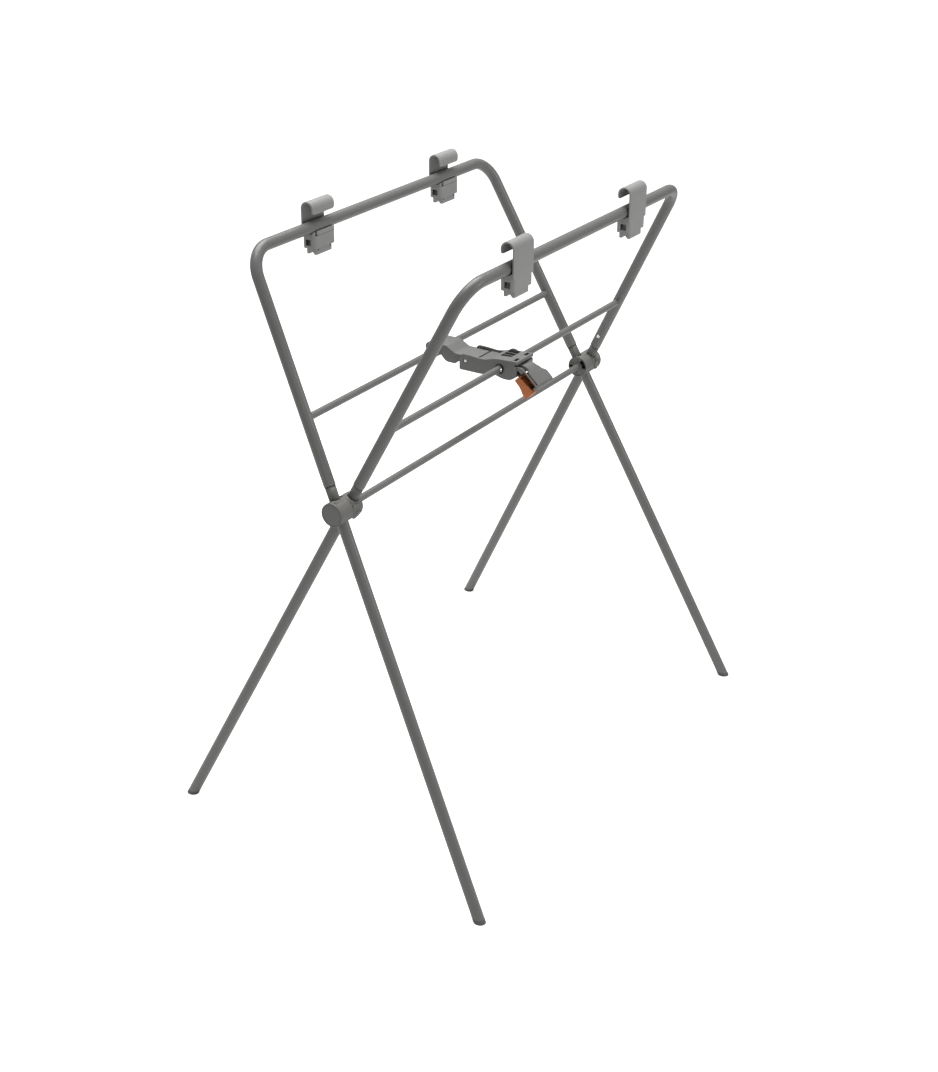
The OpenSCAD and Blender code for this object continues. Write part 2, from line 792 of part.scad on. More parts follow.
module hook() {
  difference() {
    union() {
      translate([hook_out - hook_wall, -hook_w / 2, -belt_top - hook_wall])
        cube([hook_wall, hook_w, curl_up + belt_top + hook_wall]);
      translate([curl_x, 0, curl_up]) rotate([90, 0, 0]) translate([0, 0, -hook_w / 2])
        rotate_extrude(angle = 180) translate([curl_r - hook_wall, 0]) square([hook_wall, hook_w]);
      translate([curl_x - curl_r, -hook_w / 2, curl_up - tongue_len]) cube([hook_wall, hook_w, tongue_len]);
      translate([0, 0, -belt_bottom]) linear_extrude(belt_h) belt_outline(0);
      translate([-saddle_in, -belt_len / 2, -belt_top - over])
        cube([saddle_in + hook_out - hook_wall, belt_len, belt_ear + over]);
    }
    translate([0, 0, -belt_bottom - over]) linear_extrude(belt_h + belt_ear + 2 * over)
      belt_outline(hook_wall);
    y_rod(tube_r + belt_rail_gap, -hook_w, hook_w);
    translate([curl_x - window_w / 2, -hook_w, window_up - belt_bottom])
      cube([window_w, 2 * hook_w, window_h]);
    for (side = [-1, 1]) tongue_corner(side);
  }
}

module saddle() {
  difference() {
    union() {
      translate([-saddle_in, -saddle_len / 2, -saddle_drop])
        cube([saddle_in + saddle_out, saddle_len, saddle_drop - lip_drop]);
      translate([-belt_in, -saddle_len / 2, slide_gap - belt_top])
        cube([belt_in, saddle_len, belt_top - slide_gap - lip_drop]);
    }
    y_rod(tube_r + fit_gap, -saddle_len, saddle_len);
    along_y(2 * saddle_len) translate([saddle_mid, -saddle_drop])
      polygon([[-notch_w / 2, -over], [0, notch_h], [notch_w / 2, -over]]);
    for (side = [-1, 1]) {
      translate([0, side * screw_pitch / 2, 0]) {
        z_rod(screw_r + fit_gap, -saddle_drop, 0);
        z_rod(screw_head_d / 2 + fit_gap, -saddle_drop - over, -screw_head_z);
      }
      translate([-saddle_in - over, side * (saddle_len / 2 - slot_in) - slot_w / 2, notch_h - saddle_drop])
        cube([slot_depth + over, slot_w, slot_h]);
    }
  }
}

module saddle_screw() {
  z_rod(screw_r, -screw_head_z - over, screw_in - tube_r);
  z_rod(screw_head_d / 2, -screw_head_z - screw_head_t, -screw_head_z);
}

module saddle_screws() {
  screw_places() saddle_screw();
}

module hook_a_near() color(plastic_color) frame_a() on_rail(hook_outer_along) hook();
module hook_a_far() color(plastic_color) frame_a() on_rail(hook_inner_along) hook();
module hook_b_near() color(plastic_color) frame_b() on_rail(hook_inner_along) hook();
module hook_b_far() color(plastic_color) frame_b() on_rail(hook_outer_along) hook();
module saddle_a_near() color(plastic_color) frame_a() on_rail(hook_outer_along) saddle();
module saddle_a_far() color(plastic_color) frame_a() on_rail(hook_inner_along) saddle();
module saddle_b_near() color(plastic_color) frame_b() on_rail(hook_inner_along) saddle();
module saddle_b_far() color(plastic_color) frame_b() on_rail(hook_outer_along) saddle();
module saddle_screws_a() color(steel_color) frame_a() saddle_screws();
module saddle_screws_b() color(steel_color) frame_b() saddle_screws();

// ---- Strut ----
module strut_link() color(plastic_color) strut_place(0) difference() {
  slit_w = lid_gap - link_side_gap;
  union() {
    translate([-bar_x, 0, 0]) y_rod(link_collar_d / 2, -link_w / 2, link_w / 2);
    translate([-bar_x - heel_out, 0, link_rise - heel_r]) y_rod(heel_r, -link_w / 2, link_w / 2);
    along_y(link_w) polygon([
      [-bar_x, 0], [-bar_x - heel_out - heel_r, link_rise - heel_r], [-bar_x - heel_out, link_rise],
      [-shoulder_back, link_rise], [-shoulder_foot, tongue_rise], [tongue_over, tongue_rise],
      [tongue_over, -tongue_lip], [0, -tongue_lip], [0, pin_seat_r], [-body_back, pin_seat_r],
      [-body_back, -link_drop], [-shoulder_back, -link_drop], [-shoulder_back - link_drop, 0]
    ]);
  }
  y_rod(pin_seat_r, -link_w, link_w);
  translate([-bar_x, 0, 0]) y_rod(cross_r + fit_gap, -link_w, link_w);
  translate([-slit_back, link_w / 2 - slit_w, -link_rise])
    cube([slit_back + tongue_over + over, slit_w + over, 2 * link_rise]);
}

// The arm's outline with cross tube B's axis at the origin
module arm_outline() {
  tip = -bar_x - arm_over;
  polygon([
    [tip, -arm_drop], [tip, arm_end_rise], [tip + arm_end_len, arm_rise], [arm_over - bar_x, arm_rise],
    [wall_from_pin - bar_x, arm_rise - arm_dip], [-house_top_in, house_rise - arm_dip],
    [house_out, house_rise], [house_out - toe_set, -pivot_drop], [pivot_out - heel_set, -arm_drop],
    [latch_r / 2, -arm_drop], [-latch_r, arch_h - arm_drop], [wall_from_pin - bar_x, -arm_drop]
  ]);
}

module arm_block() {
  wall_top = arm_rise - arm_dip - wall_inset;
  intersection() {
    along_y(arm_w) arm_outline();
    translate([-house_in, -arm_w, -arm_w]) cube([far_away, 2 * arm_w, 2 * arm_w]);
  }
  translate([wall_from_pin - bar_x, -arm_w / 2, arch_h - arm_drop])
    cube([bar_x - wall_from_pin - house_in + over, arm_w, arm_drop - arch_h + wall_top]);
  for (side = [-1, 1]) translate([0, side * (arm_w - cheek_t) / 2, 0]) along_y(cheek_t) arm_outline();
  translate([lid_from_pin - bar_x, -arm_w / 2 + over, lid_top - lid_t])
    cube([bar_x - lid_from_pin - house_in + over, arm_w - cheek_t - lid_gap - over, lid_t]);
}

module strut_arm() color(plastic_color) strut_place(1) difference() {
  arm_block();
  translate([-bar_x, 0, 0]) y_rod(pin_r + fit_gap, -arm_w, arm_w);
  y_rod(cross_r + fit_gap, -arm_w, arm_w);
  y_rod(cavity_r, -latch_len / 2 - slide_gap, latch_len / 2 + slide_gap);
  for (side = [-1, 1]) translate([0, side * (arm_w / 2 + over - (ring_depth + over) / 2), 0])
    y_rod(ring_d / 2, -(ring_depth + over) / 2, (ring_depth + over) / 2);
  lever_slot();
  translate([pivot_out, 0, -pivot_drop]) {
    y_rod(trigger_pin_r + fit_gap, -lever_w, trigger_pin_end);
    y_rod(spring_room_r, 0, spring_room_end);
  }
  grip_tenon(fit_gap);
  housing_openings();
}

module lever_slot() {
  half = lever_w / 2 + lever_gap;
  translate([nose_x - lever_gap, -half, -2 * arm_drop])
    cube([2 * house_out, 2 * half, 2 * arm_drop + lever_slot_top]);
}

module housing_openings() {
  for (side = [-1, 1]) translate([top_slot_x, side * top_slot_off, house_rise])
    cube([top_slot_w, top_slot_len, 2 * top_slot_depth], center = true);
  translate([0, pocket_off - pocket_w / 2, 0]) difference() {
    translate([-pocket_len / 2, 0, house_rise - arm_dip - top_slot_depth])
      cube([pocket_len, pocket_w, 2 * top_slot_depth + arm_dip]);
    for (i = [1 : pocket_ribs])
      translate([-pocket_len, i * pocket_w / (pocket_ribs + 1) - pocket_rib_t / 2, 0])
        cube([2 * pocket_len, pocket_rib_t, 2 * house_rise]);
  }
}

module toggle_pin() color(steel_color) strut_place(0) y_rod(pin_r, -arm_w / 2, arm_w / 2);

module latch_collar() color(steel_color) strut_place(1) difference() {
  y_rod(latch_r, -latch_len / 2, latch_len / 2);
  y_rod(cross_r + fit_gap, -latch_len, latch_len);
  translate([latch_notch_out - latch_notch_w / 2, -latch_len, -2 * latch_r])
    cube([latch_notch_w, 2 * latch_len, latch_r + latch_notch_depth]);
}

module stop_rivet() color(steel_color) frame_b() stop_rivet_place() {
  x_rod(rivet_r, -rivet_in, 0);
  intersection() {
    sphere(r = rivet_r);
    x_rod(rivet_r, -over, rivet_head_h);
  }
}

// ---- Grip and trigger ----
// A place u down the slope from the trigger's pivot and w square to it, seen from cross tube B
function sloped(u, w) = [
  pivot_out + u * cos(grip_slope) + w * sin(grip_slope),
  -pivot_drop - u * sin(grip_slope) + w * cos(grip_slope)
];

module grip_tenon(gap) {
  translate([house_out - tenon_len, -tenon_w / 2 - gap, tenon_low - gap])
    cube([2 * tenon_len, tenon_w + 2 * gap, tenon_h + 2 * gap]);
}

module grip_outline() {
  top = grip_off + grip_t;
  slope_start = (top * cos(grip_slope) - pivot_drop - grip_rise) / sin(grip_slope);
  polygon([
    [house_out, grip_rise], sloped(slope_start, top),
    sloped(grip_len - grip_t / 2, top), sloped(grip_len + over, top - grip_t / 2),
    sloped(grip_len, grip_off), sloped(0, grip_off), [house_out, sloped(0, grip_off)[1]]
  ]);
}

module grip_hollow_outline() {
  polygon([
    sloped(grip_wall, grip_off - over), sloped(grip_wall, grip_off + grip_hollow),
    sloped(grip_len - grip_wall, grip_off + grip_hollow), sloped(grip_len - grip_wall, grip_off - over)
  ]);
}

// A plan drawn down the slope and across it, given a height square to the slope
module square_to_slope(low, high) {
  translate([pivot_out, 0, -pivot_drop]) rotate([0, grip_slope, 0])
    translate([0, 0, low]) linear_extrude(high - low) children();
}

// The slot through the grip's top, open to its near side under the rim
module edge_opening() {
  near = edge_rim - grip_w / 2;
  inner = near + edge_slot_w;
  slot_end = grip_len - grip_t / 2;
  square_to_slope(grip_off + over, 2 * grip_len) polygon([
    [slot_root, near], [slot_end, near], [slot_end, inner], [slot_end / 2 - edge_slot_w, inner],
    [slot_root, inner + edge_slot_w]
  ]);
  square_to_slope(grip_off - over, grip_off + grip_t - edge_rim)
    translate([slot_root, -grip_w]) square([slot_end - slot_root, inner + grip_w]);
}

// What is taken off the grip's far edge, and by a wall more off its hollow
module waist_cut(wall) {
  edge = grip_w / 2 - wall;
  square_to_slope(-grip_len, grip_len) polygon([
    [-grip_len, edge - waist_in], [waist_len / 4, edge - waist_in], [waist_len / 2, edge - waist_in * 2 / 3],
    [waist_len * 3 / 4, edge - waist_in / 2], [waist_len, edge], [waist_len, 2 * edge], [-grip_len, 2 * edge]
  ]);
}

module grip() color(plastic_color) strut_place(1) {
  difference() {
    along_y(grip_w) grip_outline();
    difference() {
      along_y(grip_w - 2 * grip_wall) grip_hollow_outline();
      waist_cut(grip_wall);
    }
    edge_opening();
    waist_cut(0);
  }
  intersection() {
    grip_tenon(0);
    translate([0, -arm_w, 0]) cube([house_out + over, 2 * arm_w, arm_w]);
  }
}

// The paddle's outline, drawn in by a wall at its ends and its lower edge
module paddle_outline(wall, rise) {
  low = paddle_top - trigger_taper - trigger_root_h + wall;
  tip_low = paddle_top - trigger_tip_h + wall;
  polygon([
    sloped(paddle_root + wall, paddle_top - trigger_taper + rise),
    sloped(paddle_end - wall, paddle_top + rise),
    sloped(paddle_end - wall, tip_low), sloped(paddle_end - trigger_len / 3, tip_low + over),
    sloped(paddle_root + wall, low)
  ]);
}

// What is taken off the paddle's far corner, drawn in by a wall
module paddle_corner(wall) {
  end = paddle_end - wall;
  step_y = paddle_long_w - trigger_off - trigger_w / 2 - wall;
  square_to_slope(-grip_len, grip_len) polygon([
    [end + paddle_step, step_y - paddle_step], [end + paddle_step, arm_w],
    [end - paddle_step, arm_w], [end - paddle_step, step_y + paddle_step]
  ]);
}

module lever_outline() {
  translate([pivot_out, -pivot_drop]) circle(r = lever_boss_r);
  polygon([
    [nose_x, nose_top], [nose_x, nose_top - lever_t], [pivot_out, nose_top - lever_t], [pivot_out, nose_top]
  ]);
  neck_end = paddle_root + trigger_wall / 2;
  polygon([
    sloped(0, lever_neck_half), sloped(neck_end, lever_neck_half),
    sloped(neck_end, -lever_neck_half), sloped(0, -lever_neck_half)
  ]);
}

module trigger() color(trigger_color) strut_place(1) difference() {
  union() {
    difference() {
      translate([0, -trigger_off, 0]) along_y(trigger_w) paddle_outline(0, 0);
      paddle_corner(0);
      difference() {
        translate([0, -trigger_off, 0]) along_y(trigger_w - 2 * trigger_wall)
          paddle_outline(trigger_wall, trigger_tip_h);
        paddle_corner(trigger_wall);
      }
    }
    along_y(lever_w) lever_outline();
  }
  translate([pivot_out, 0, -pivot_drop]) y_rod(trigger_pin_r + fit_gap, -lever_w, lever_w);
}

module trigger_pin() color(steel_color) strut_place(1)
  translate([pivot_out, 0, -pivot_drop]) y_rod(trigger_pin_r, -lever_w, trigger_pin_end);

// Rings of a coil about the y axis, each square to the wire
function coil_ring(i) = let (way = 360 * i / coil_rings) [
  for (s = [0 : wire_sides - 1]) let (
    r = spring_r + spring_wire_d / 2 * cos(360 * s / wire_sides),
    y = spring_start + spring_pitch * i / coil_rings + spring_wire_d / 2 * sin(360 * s / wire_sides)
  ) [r * cos(way), y, r * sin(way)]
];

module trigger_spring() color(steel_color) strut_place(1) translate([pivot_out, 0, -pivot_drop]) {
  last = spring_turns * coil_rings;
  points = [for (i = [0 : last]) each coil_ring(i)];
  sides = [
    for (i = [0 : last - 1], s = [0 : wire_sides - 1])
      let (a = i * wire_sides, b = a + wire_sides, t = (s + 1) % wire_sides)
        each [[a + s, a + t, b + t], [a + s, b + t, b + s]]
  ];
  ends = [
    for (s = [1 : wire_sides - 2])
      each [[0, s + 1, s], [last * wire_sides, last * wire_sides + s, last * wire_sides + s + 1]]
  ];
  polyhedron(points, concat(sides, ends));
}

rail_tube_a();
rail_tube_b();
cross_tube_a();
cross_tube_b();
leg_tube_a_near();
leg_tube_a_far();
leg_tube_b_near();
leg_tube_b_far();
foot_plug_a_near();
foot_plug_a_far();
foot_plug_b_near();
foot_plug_b_far();
hub_outer_a();
hub_outer_b();
hub_inner_a();
hub_inner_b();
hub_cap_a();
hub_cap_b();
hub_stubs_a();
hub_stubs_b();
screw_covers_a();
screw_covers_b();
frame_rivet_a();
frame_rivet_b();
axle_tube();
pivot_bolts();
hook_a_near();
hook_a_far();
hook_b_near();
hook_b_far();
saddle_a_near();
saddle_a_far();
saddle_b_near();
saddle_b_far();
saddle_screws_a();
saddle_screws_b();
strut_link();
strut_arm();
toggle_pin();
latch_collar();
stop_rivet();
grip();
trigger();
trigger_pin();
trigger_spring();
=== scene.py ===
"""Looks of a folding baby bath stand: two crossed tube frames, hooks for a tub and a toggle strut."""

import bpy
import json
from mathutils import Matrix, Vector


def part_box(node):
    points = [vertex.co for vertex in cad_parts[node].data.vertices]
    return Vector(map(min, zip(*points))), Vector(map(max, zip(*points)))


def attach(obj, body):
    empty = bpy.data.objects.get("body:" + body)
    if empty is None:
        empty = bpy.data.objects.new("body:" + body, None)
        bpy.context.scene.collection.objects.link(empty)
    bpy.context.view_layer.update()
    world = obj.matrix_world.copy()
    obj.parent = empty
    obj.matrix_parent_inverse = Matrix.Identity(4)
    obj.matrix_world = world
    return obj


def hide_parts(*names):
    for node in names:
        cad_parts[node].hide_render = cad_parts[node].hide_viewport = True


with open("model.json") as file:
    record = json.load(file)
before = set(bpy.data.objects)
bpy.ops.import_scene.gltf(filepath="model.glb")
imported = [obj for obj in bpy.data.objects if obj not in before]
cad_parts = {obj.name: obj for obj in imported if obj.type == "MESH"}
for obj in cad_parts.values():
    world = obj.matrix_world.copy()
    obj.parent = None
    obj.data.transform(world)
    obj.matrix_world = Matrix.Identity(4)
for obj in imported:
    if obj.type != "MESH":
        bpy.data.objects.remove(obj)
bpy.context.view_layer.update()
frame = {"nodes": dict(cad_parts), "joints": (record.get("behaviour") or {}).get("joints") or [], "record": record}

import json
import logging
import math
from collections.abc import Callable, Iterator
from contextlib import contextmanager
from dataclasses import dataclass
from enum import Enum

import bmesh
import bpy
from mathutils import Matrix, Vector

MM = 0.001
log = logging.getLogger("bath_stand")

Point = tuple[float, float]
Colour = tuple[float, float, float]
Piece = bpy.types.Object
Socket = bpy.types.NodeSocket
Place = Vector | tuple[float, float, float]


class Axis(Enum):
    """The directions a round bar is laid in, each with the turn that lays it there."""

    X = (0.0, math.pi / 2, 0.0)
    Y = (-math.pi / 2, 0.0, 0.0)
    Z = (0.0, 0.0, 0.0)


# ---------------------------------------------------------------- hand tools


class Bench:
    """Hand tools: each runs Blender's own operators on one piece."""

    @staticmethod
    def clear() -> None:
        """Deselect everything, in object mode."""
        if bpy.context.object and bpy.context.object.mode != "OBJECT":
            bpy.ops.object.mode_set(mode="OBJECT")
        bpy.ops.object.select_all(action="DESELECT")

    @staticmethod
    def take(piece: Piece) -> None:
        """Make one piece the only selected and active one."""
        Bench.clear()
        piece.select_set(True)
        bpy.context.view_layer.objects.active = piece

    @staticmethod
    def settle(piece: Piece) -> Piece:
        """Put a piece's place and turn into its mesh."""
        Bench.take(piece)
        bpy.ops.object.transform_apply(location=True, rotation=True, scale=True)
        return piece

    @staticmethod
    @contextmanager
    def editing(piece: Piece, picks: str = "VERT", start: str = "SELECT") -> Iterator[None]:
        """Open a piece's mesh for the steps that follow, and close it after them.

        Args:
            piece: The piece.
            picks: What is picked in it, "VERT", "EDGE" or "FACE".
            start: "SELECT" to begin with all of it picked, "DESELECT" with none.
        """
        Bench.take(piece)
        bpy.ops.object.mode_set(mode="EDIT")
        bpy.ops.mesh.select_mode(type=picks)
        bpy.ops.mesh.select_all(action=start)
        yield
        bpy.ops.mesh.select_mode(type="VERT")
        bpy.ops.object.mode_set(mode="OBJECT")

    @staticmethod
    def modify(piece: Piece, kind: str, **settings) -> Piece:
        """Add one modifier with its settings to a piece, and apply it."""
        change = piece.modifiers.new(kind.lower(), kind)
        for key, value in settings.items():
            setattr(change, key, value)
        Bench.take(piece)
        bpy.ops.object.modifier_apply(modifier=change.name)
        return piece

    @staticmethod
    def rod(radius: float, start: Place, length: float, axis: Axis, vertices: int = 72) -> Piece:
        """Add a round bar.

        Args:
            radius: Its radius.
            start: The middle of its first end.
            length: Its length along the axis.
            axis: The direction it is laid in.
            vertices: How many sides its circle has.

        Returns:
            The bar.
        """
        way = Vector([float(axis is each) for each in Axis])
        Bench.clear()
        bpy.ops.mesh.primitive_cylinder_add(
            vertices=vertices, radius=radius, depth=length,
            location=Vector(start) + way * (length / 2), rotation=axis.value)
        return Bench.settle(bpy.context.object)

    @staticmethod
    def across(radius: float, half: float, x: float = 0.0) -> Piece:
        """Add a round bar that reaches equally far to both sides along y, at a place along x."""
        return Bench.rod(radius, (x, -half, 0), 2 * half, Axis.Y)

    @staticmethod
    def pipe(radius: float, bore: float, start: Place, length: float) -> Piece:
        """Add a straight tube along y.

        Args:
            radius: Its outer radius.
            bore: Its inner radius.
            start: The middle of its first end.
            length: Its length.

        Returns:
            The tube.
        """
        inner_start = Vector(start) - Vector((0, length / 2, 0))
        piece = Bench.rod(radius, start, length, Axis.Y, 48)
        return Bench.cut(piece, Bench.rod(bore, inner_start, 2 * length, Axis.Y, 48))

    @staticmethod
    def block(low: Place, high: Place) -> Piece:
        """Add a square block between its lowest and its highest corner."""
        low, high = Vector(low), Vector(high)
        Bench.clear()
        bpy.ops.mesh.primitive_cube_add(size=1, location=(low + high) / 2)
        piece = bpy.context.object
        piece.scale = high - low
        return Bench.settle(piece)

    @staticmethod
    def prism(outline: list[Point], start: float, end: float) -> Piece:
        """Draw an outline in x and z point by point, fill it and pull it out along y.

        Args:
            outline: Its points, in order round it.
            start: Where the solid starts along y.
            end: Where it ends.

        Returns:
            The solid.
        """
        Bench.clear()
        bpy.ops.mesh.primitive_circle_add(vertices=len(outline), radius=1, location=(0, 0, 0))
        piece = bpy.context.object
        with Bench.editing(piece):
            for index, (x, z) in enumerate(outline):
                bpy.ops.mesh.select_all(action="DESELECT")
                shape = bmesh.from_edit_mesh(piece.data)
                shape.verts.ensure_lookup_table()
                vertex = shape.verts[index]
                vertex.select = True
                shape.select_flush(True)
                bpy.ops.transform.translate(value=Vector((x, start, z)) - vertex.co)
            bpy.ops.mesh.select_all(action="SELECT")
            bpy.ops.mesh.edge_face_add()
            bpy.ops.mesh.extrude_region_move(TRANSFORM_OT_translate={"value": (0, end - start, 0)})
            bpy.ops.mesh.select_all(action="SELECT")
            bpy.ops.mesh.normals_make_consistent(inside=False)
        return piece

    @staticmethod
    def slab(plan: list[Point], low: float, high: float) -> Piece:
        """Draw a plan in x and y and pull it up.

        Args:
            plan: Its points, in order round it.
            low: The height of its lower face.
            high: The height of its upper face.

        Returns:
            The solid.
        """
        piece = Bench.prism([(x, -y) for x, y in plan], low, high)
        return Bench.moved(piece, Matrix.Rotation(math.pi / 2, 4, "X"))

    @staticmethod
    def copy_solid(node: str, width: float = 0.0) -> Piece:
        """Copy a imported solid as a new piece, with its split corners joined and its edges eased.

        Args:
            node: The solid's node.
            width: How far the edges are eased.

        Returns:
            The copy.
        """
        piece = Bench.twin(frame["nodes"][node])
        piece.parent = None
        with Bench.editing(piece):
            bpy.ops.mesh.remove_doubles(threshold=2e-6)
        Bench.settle(piece)
        return Bench.soften(piece, width, 2, 50) if width else piece

    @staticmethod
    def soften(piece: Piece, width: float, segments: int = 3, sharpness: float = 35.0) -> Piece:
        """Round a piece's sharp edges.

        Args:
            piece: The piece.
            width: How far the rounding reaches from each edge.
            segments: How many steps the rounding has.
            sharpness: The least turn between two faces that counts as sharp, in degrees.

        Returns:
            The same piece.
        """
        with Bench.editing(piece, "EDGE", "DESELECT"):
            bpy.ops.mesh.edges_select_sharp(sharpness=math.radians(sharpness))
            bpy.ops.mesh.bevel(offset=width, segments=segments, affect="EDGES", clamp_overlap=True)
        return piece

    @staticmethod
    def round_corners(
        piece: Piece, picked: Callable[[Vector, Vector], bool], width: float, segments: int = 8,
    ) -> Piece:
        """Round the edges that a test picks by the places of their two ends.

        Args:
            piece: The piece.
            picked: A test that takes an edge's two end points.
            width: The radius of the rounding.
            segments: How many steps it has.

        Returns:
            The same piece.
        """
        with Bench.editing(piece, "EDGE", "DESELECT"):
            for edge in bmesh.from_edit_mesh(piece.data).edges:
                edge.select = picked(edge.verts[0].co, edge.verts[1].co)
            bmesh.update_edit_mesh(piece.data)
            bpy.ops.mesh.bevel(offset=width, segments=segments, affect="EDGES", clamp_overlap=True)
        return piece

    @staticmethod
    def slice(piece: Piece, point: Vector, normal: Vector) -> None:
        """Cut off what lies beyond a plane and close the cut."""
        with Bench.editing(piece):
            bpy.ops.mesh.bisect(plane_co=point, plane_no=normal, use_fill=True, clear_outer=True)

    @staticmethod
    def fit(piece: Piece, operation: str, tools: tuple[Piece, ...]) -> Piece:
        """Fit further solids to a piece one by one, and put each of them away."""
        for tool in tools:
            Bench.modify(piece, "BOOLEAN", operation=operation, solver="EXACT", object=tool)
            Bench.discard(tool)
        return piece

    @staticmethod
    def join(piece: Piece, *tools: Piece) -> Piece:
        """Make further solids one with a piece."""
        return Bench.fit(piece, "UNION", tools)

    @staticmethod
    def cut(piece: Piece, *tools: Piece) -> Piece:
        """Cut further solids out of a piece."""
        return Bench.fit(piece, "DIFFERENCE", tools)

    @staticmethod
    def keep(piece: Piece, *tools: Piece) -> Piece:
        """Keep only what a piece shares with further solids."""
        return Bench.fit(piece, "INTERSECT", tools)

    @staticmethod
    def melt(piece: Piece, voxel: float, passes: int) -> Piece:
        """Let a piece's parts flow into each other, as in a moulding.

        Args:
            piece: The piece.
            voxel: The grain it is rebuilt at.
            passes: How often it is smoothed.

        Returns:
            The same piece.
        """
        Bench.modify(piece, "REMESH", mode="VOXEL", voxel_size=voxel)
        return Bench.modify(piece, "SMOOTH", factor=0.5, iterations=passes)

    @staticmethod
    def moved(piece: Piece, place: Matrix) -> Piece:
        """Carry a piece to its place, with the place in its mesh."""
        piece.matrix_world = place @ piece.matrix_world
        return Bench.settle(piece)

    @staticmethod
    def tighten(piece: Piece) -> Piece:
        """Join the corners that meet in a closed piece, and turn all its faces outward."""
        with Bench.editing(piece):
            bpy.ops.mesh.remove_doubles(threshold=1e-6)
            bpy.ops.mesh.normals_make_consistent(inside=False)
        return piece

    @staticmethod
    def mirrored(piece: Piece) -> Piece:
        """Turn a piece into its mirror image across the plane y = 0."""
        piece.scale = (1, -1, 1)
        return Bench.tighten(Bench.settle(piece))

    @staticmethod
    def twin(piece: Piece) -> Piece:
        """Copy a piece with a mesh of its own."""
        copy = piece.copy()
        copy.data = piece.data.copy()
        bpy.context.scene.collection.objects.link(copy)
        return copy

    @staticmethod
    def discard(*pieces: Piece) -> None:
        """Put pieces away that have served."""
        for piece in pieces:
            bpy.data.objects.remove(piece, do_unlink=True)


def arc(centre: Point, radius: float, start: float, end: float, steps: int) -> list[Point]:
    """List the points of an arc.

    Args:
        centre: Its centre.
        radius: Its radius.
        start: The angle it starts at, in degrees.
        end: The angle it ends at.
        steps: How many parts it has.

    Returns:
        Its points, ends included.
    """
    angles = [math.radians(start + (end - start) * i / steps) for i in range(steps + 1)]
    return [(centre[0] + radius * math.cos(a), centre[1] + radius * math.sin(a)) for a in angles]


def eased(corners: list[tuple[float, float, float]], steps: int = 7) -> list[Point]:
    """Round an outline's corners.

    Args:
        corners: Each corner's place and the length taken off either side of it.
        steps: How many parts each rounding has.

    Returns:
        The outline's points.
    """
    points: list[Point] = []
    for index, (x, z, cut) in enumerate(corners):
        corner = Vector((x, z))
        if not cut:
            points.append((x, z))
            continue
        before = Vector(corners[index - 1][:2])
        after = Vector(corners[(index + 1) % len(corners)][:2])
        start = corner + (before - corner).normalized() * cut
        end = corner + (after - corner).normalized() * cut
        for step in range(steps + 1):
            t = step / steps
            point = start * (1 - t) ** 2 + corner * 2 * t * (1 - t) + end * t ** 2
            points.append((point.x, point.y))
    return points


def in_mm(points: list[tuple[float, ...]]) -> list[tuple[float, ...]]:
    """Turn points given in millimetres into metres."""
    return [tuple(value * MM for value in point) for point in points]


# ---------------------------------------------------------------- finishes

PLAIN = (0.2, 0.2, 0.2, 1)
PALE = (0.4, 0.4, 0.4, 1)
SOCKETS = {type(None): "NodeSocketVector", float: "NodeSocketFloat", tuple: "NodeSocketColor"}


class NodeSheet:
    """A small helper that lays out one shader or group."""

    def __init__(self, tree: bpy.types.NodeTree) -> None:
        """Keep the tree that nodes are added to."""
        self.tree = tree

    def feed(self, node: bpy.types.Node, values: dict) -> None:
        """Give a node's inputs, by name or number, their values, or join them to outputs."""
        for key, value in values.items():
            if isinstance(value, Socket):
                self.tree.links.new(value, node.inputs[key])
            else:
                node.inputs[key].default_value = value

    def add(self, kind: str, values: dict | None = None, **settings) -> bpy.types.Node:
        """Add a node.

        Args:
            kind: Blender's name for the node, without the words they all start with.
            values: What its inputs get, as in feed.
            **settings: Its other settings.

        Returns:
            The node.
        """
        node = self.tree.nodes.new(f"ShaderNode{kind}")
        for key, value in settings.items():
            setattr(node, key, value)
        self.feed(node, values or {})
        return node

    def maths(self, operation: str, *values: float | Socket, **settings) -> Socket:
        """Work out one step of arithmetic."""
        return self.add("Math", dict(enumerate(values)), operation=operation, **settings).outputs[0]

    def noise(
        self, place: Socket, scale: float | Socket, detail: float, roughness: float = 0.5,
    ) -> Socket:
        """Add a noise over a place."""
        values = {"Vector": place, "Scale": scale, "Detail": detail, "Roughness": roughness}
        return self.add("TexNoise", values).outputs["Fac"]

    def ramp(self, value: Socket, start: float, end: float, low: float | Socket = 0.0) -> Socket:
        """Let a value climb from a low one to 1 between two limits."""
        values = {"Value": value, "From Min": start, "From Max": end, "To Min": low, "To Max": 1.0}
        return self.add("MapRange", values).outputs[0]

    def blend(self, amount: Socket, first: Socket, second: Socket | tuple) -> Socket:
        """Blend two colours."""
        return self.add("Mix", {"Factor": amount, 6: first, 7: second}, data_type="RGBA").outputs[2]

    def scaled(self, colour: Socket, factor: Socket) -> Socket:
        """Make a colour lighter or darker."""
        return self.add("VectorMath", {0: colour, "Scale": factor}, operation="SCALE").outputs[0]

    def group(self, tree: bpy.types.NodeTree, values: dict) -> dict[str, Socket]:
        """Add a shared group and list its outputs by name."""
        return {socket.name: socket for socket in self.add("Group", values, node_tree=tree).outputs}


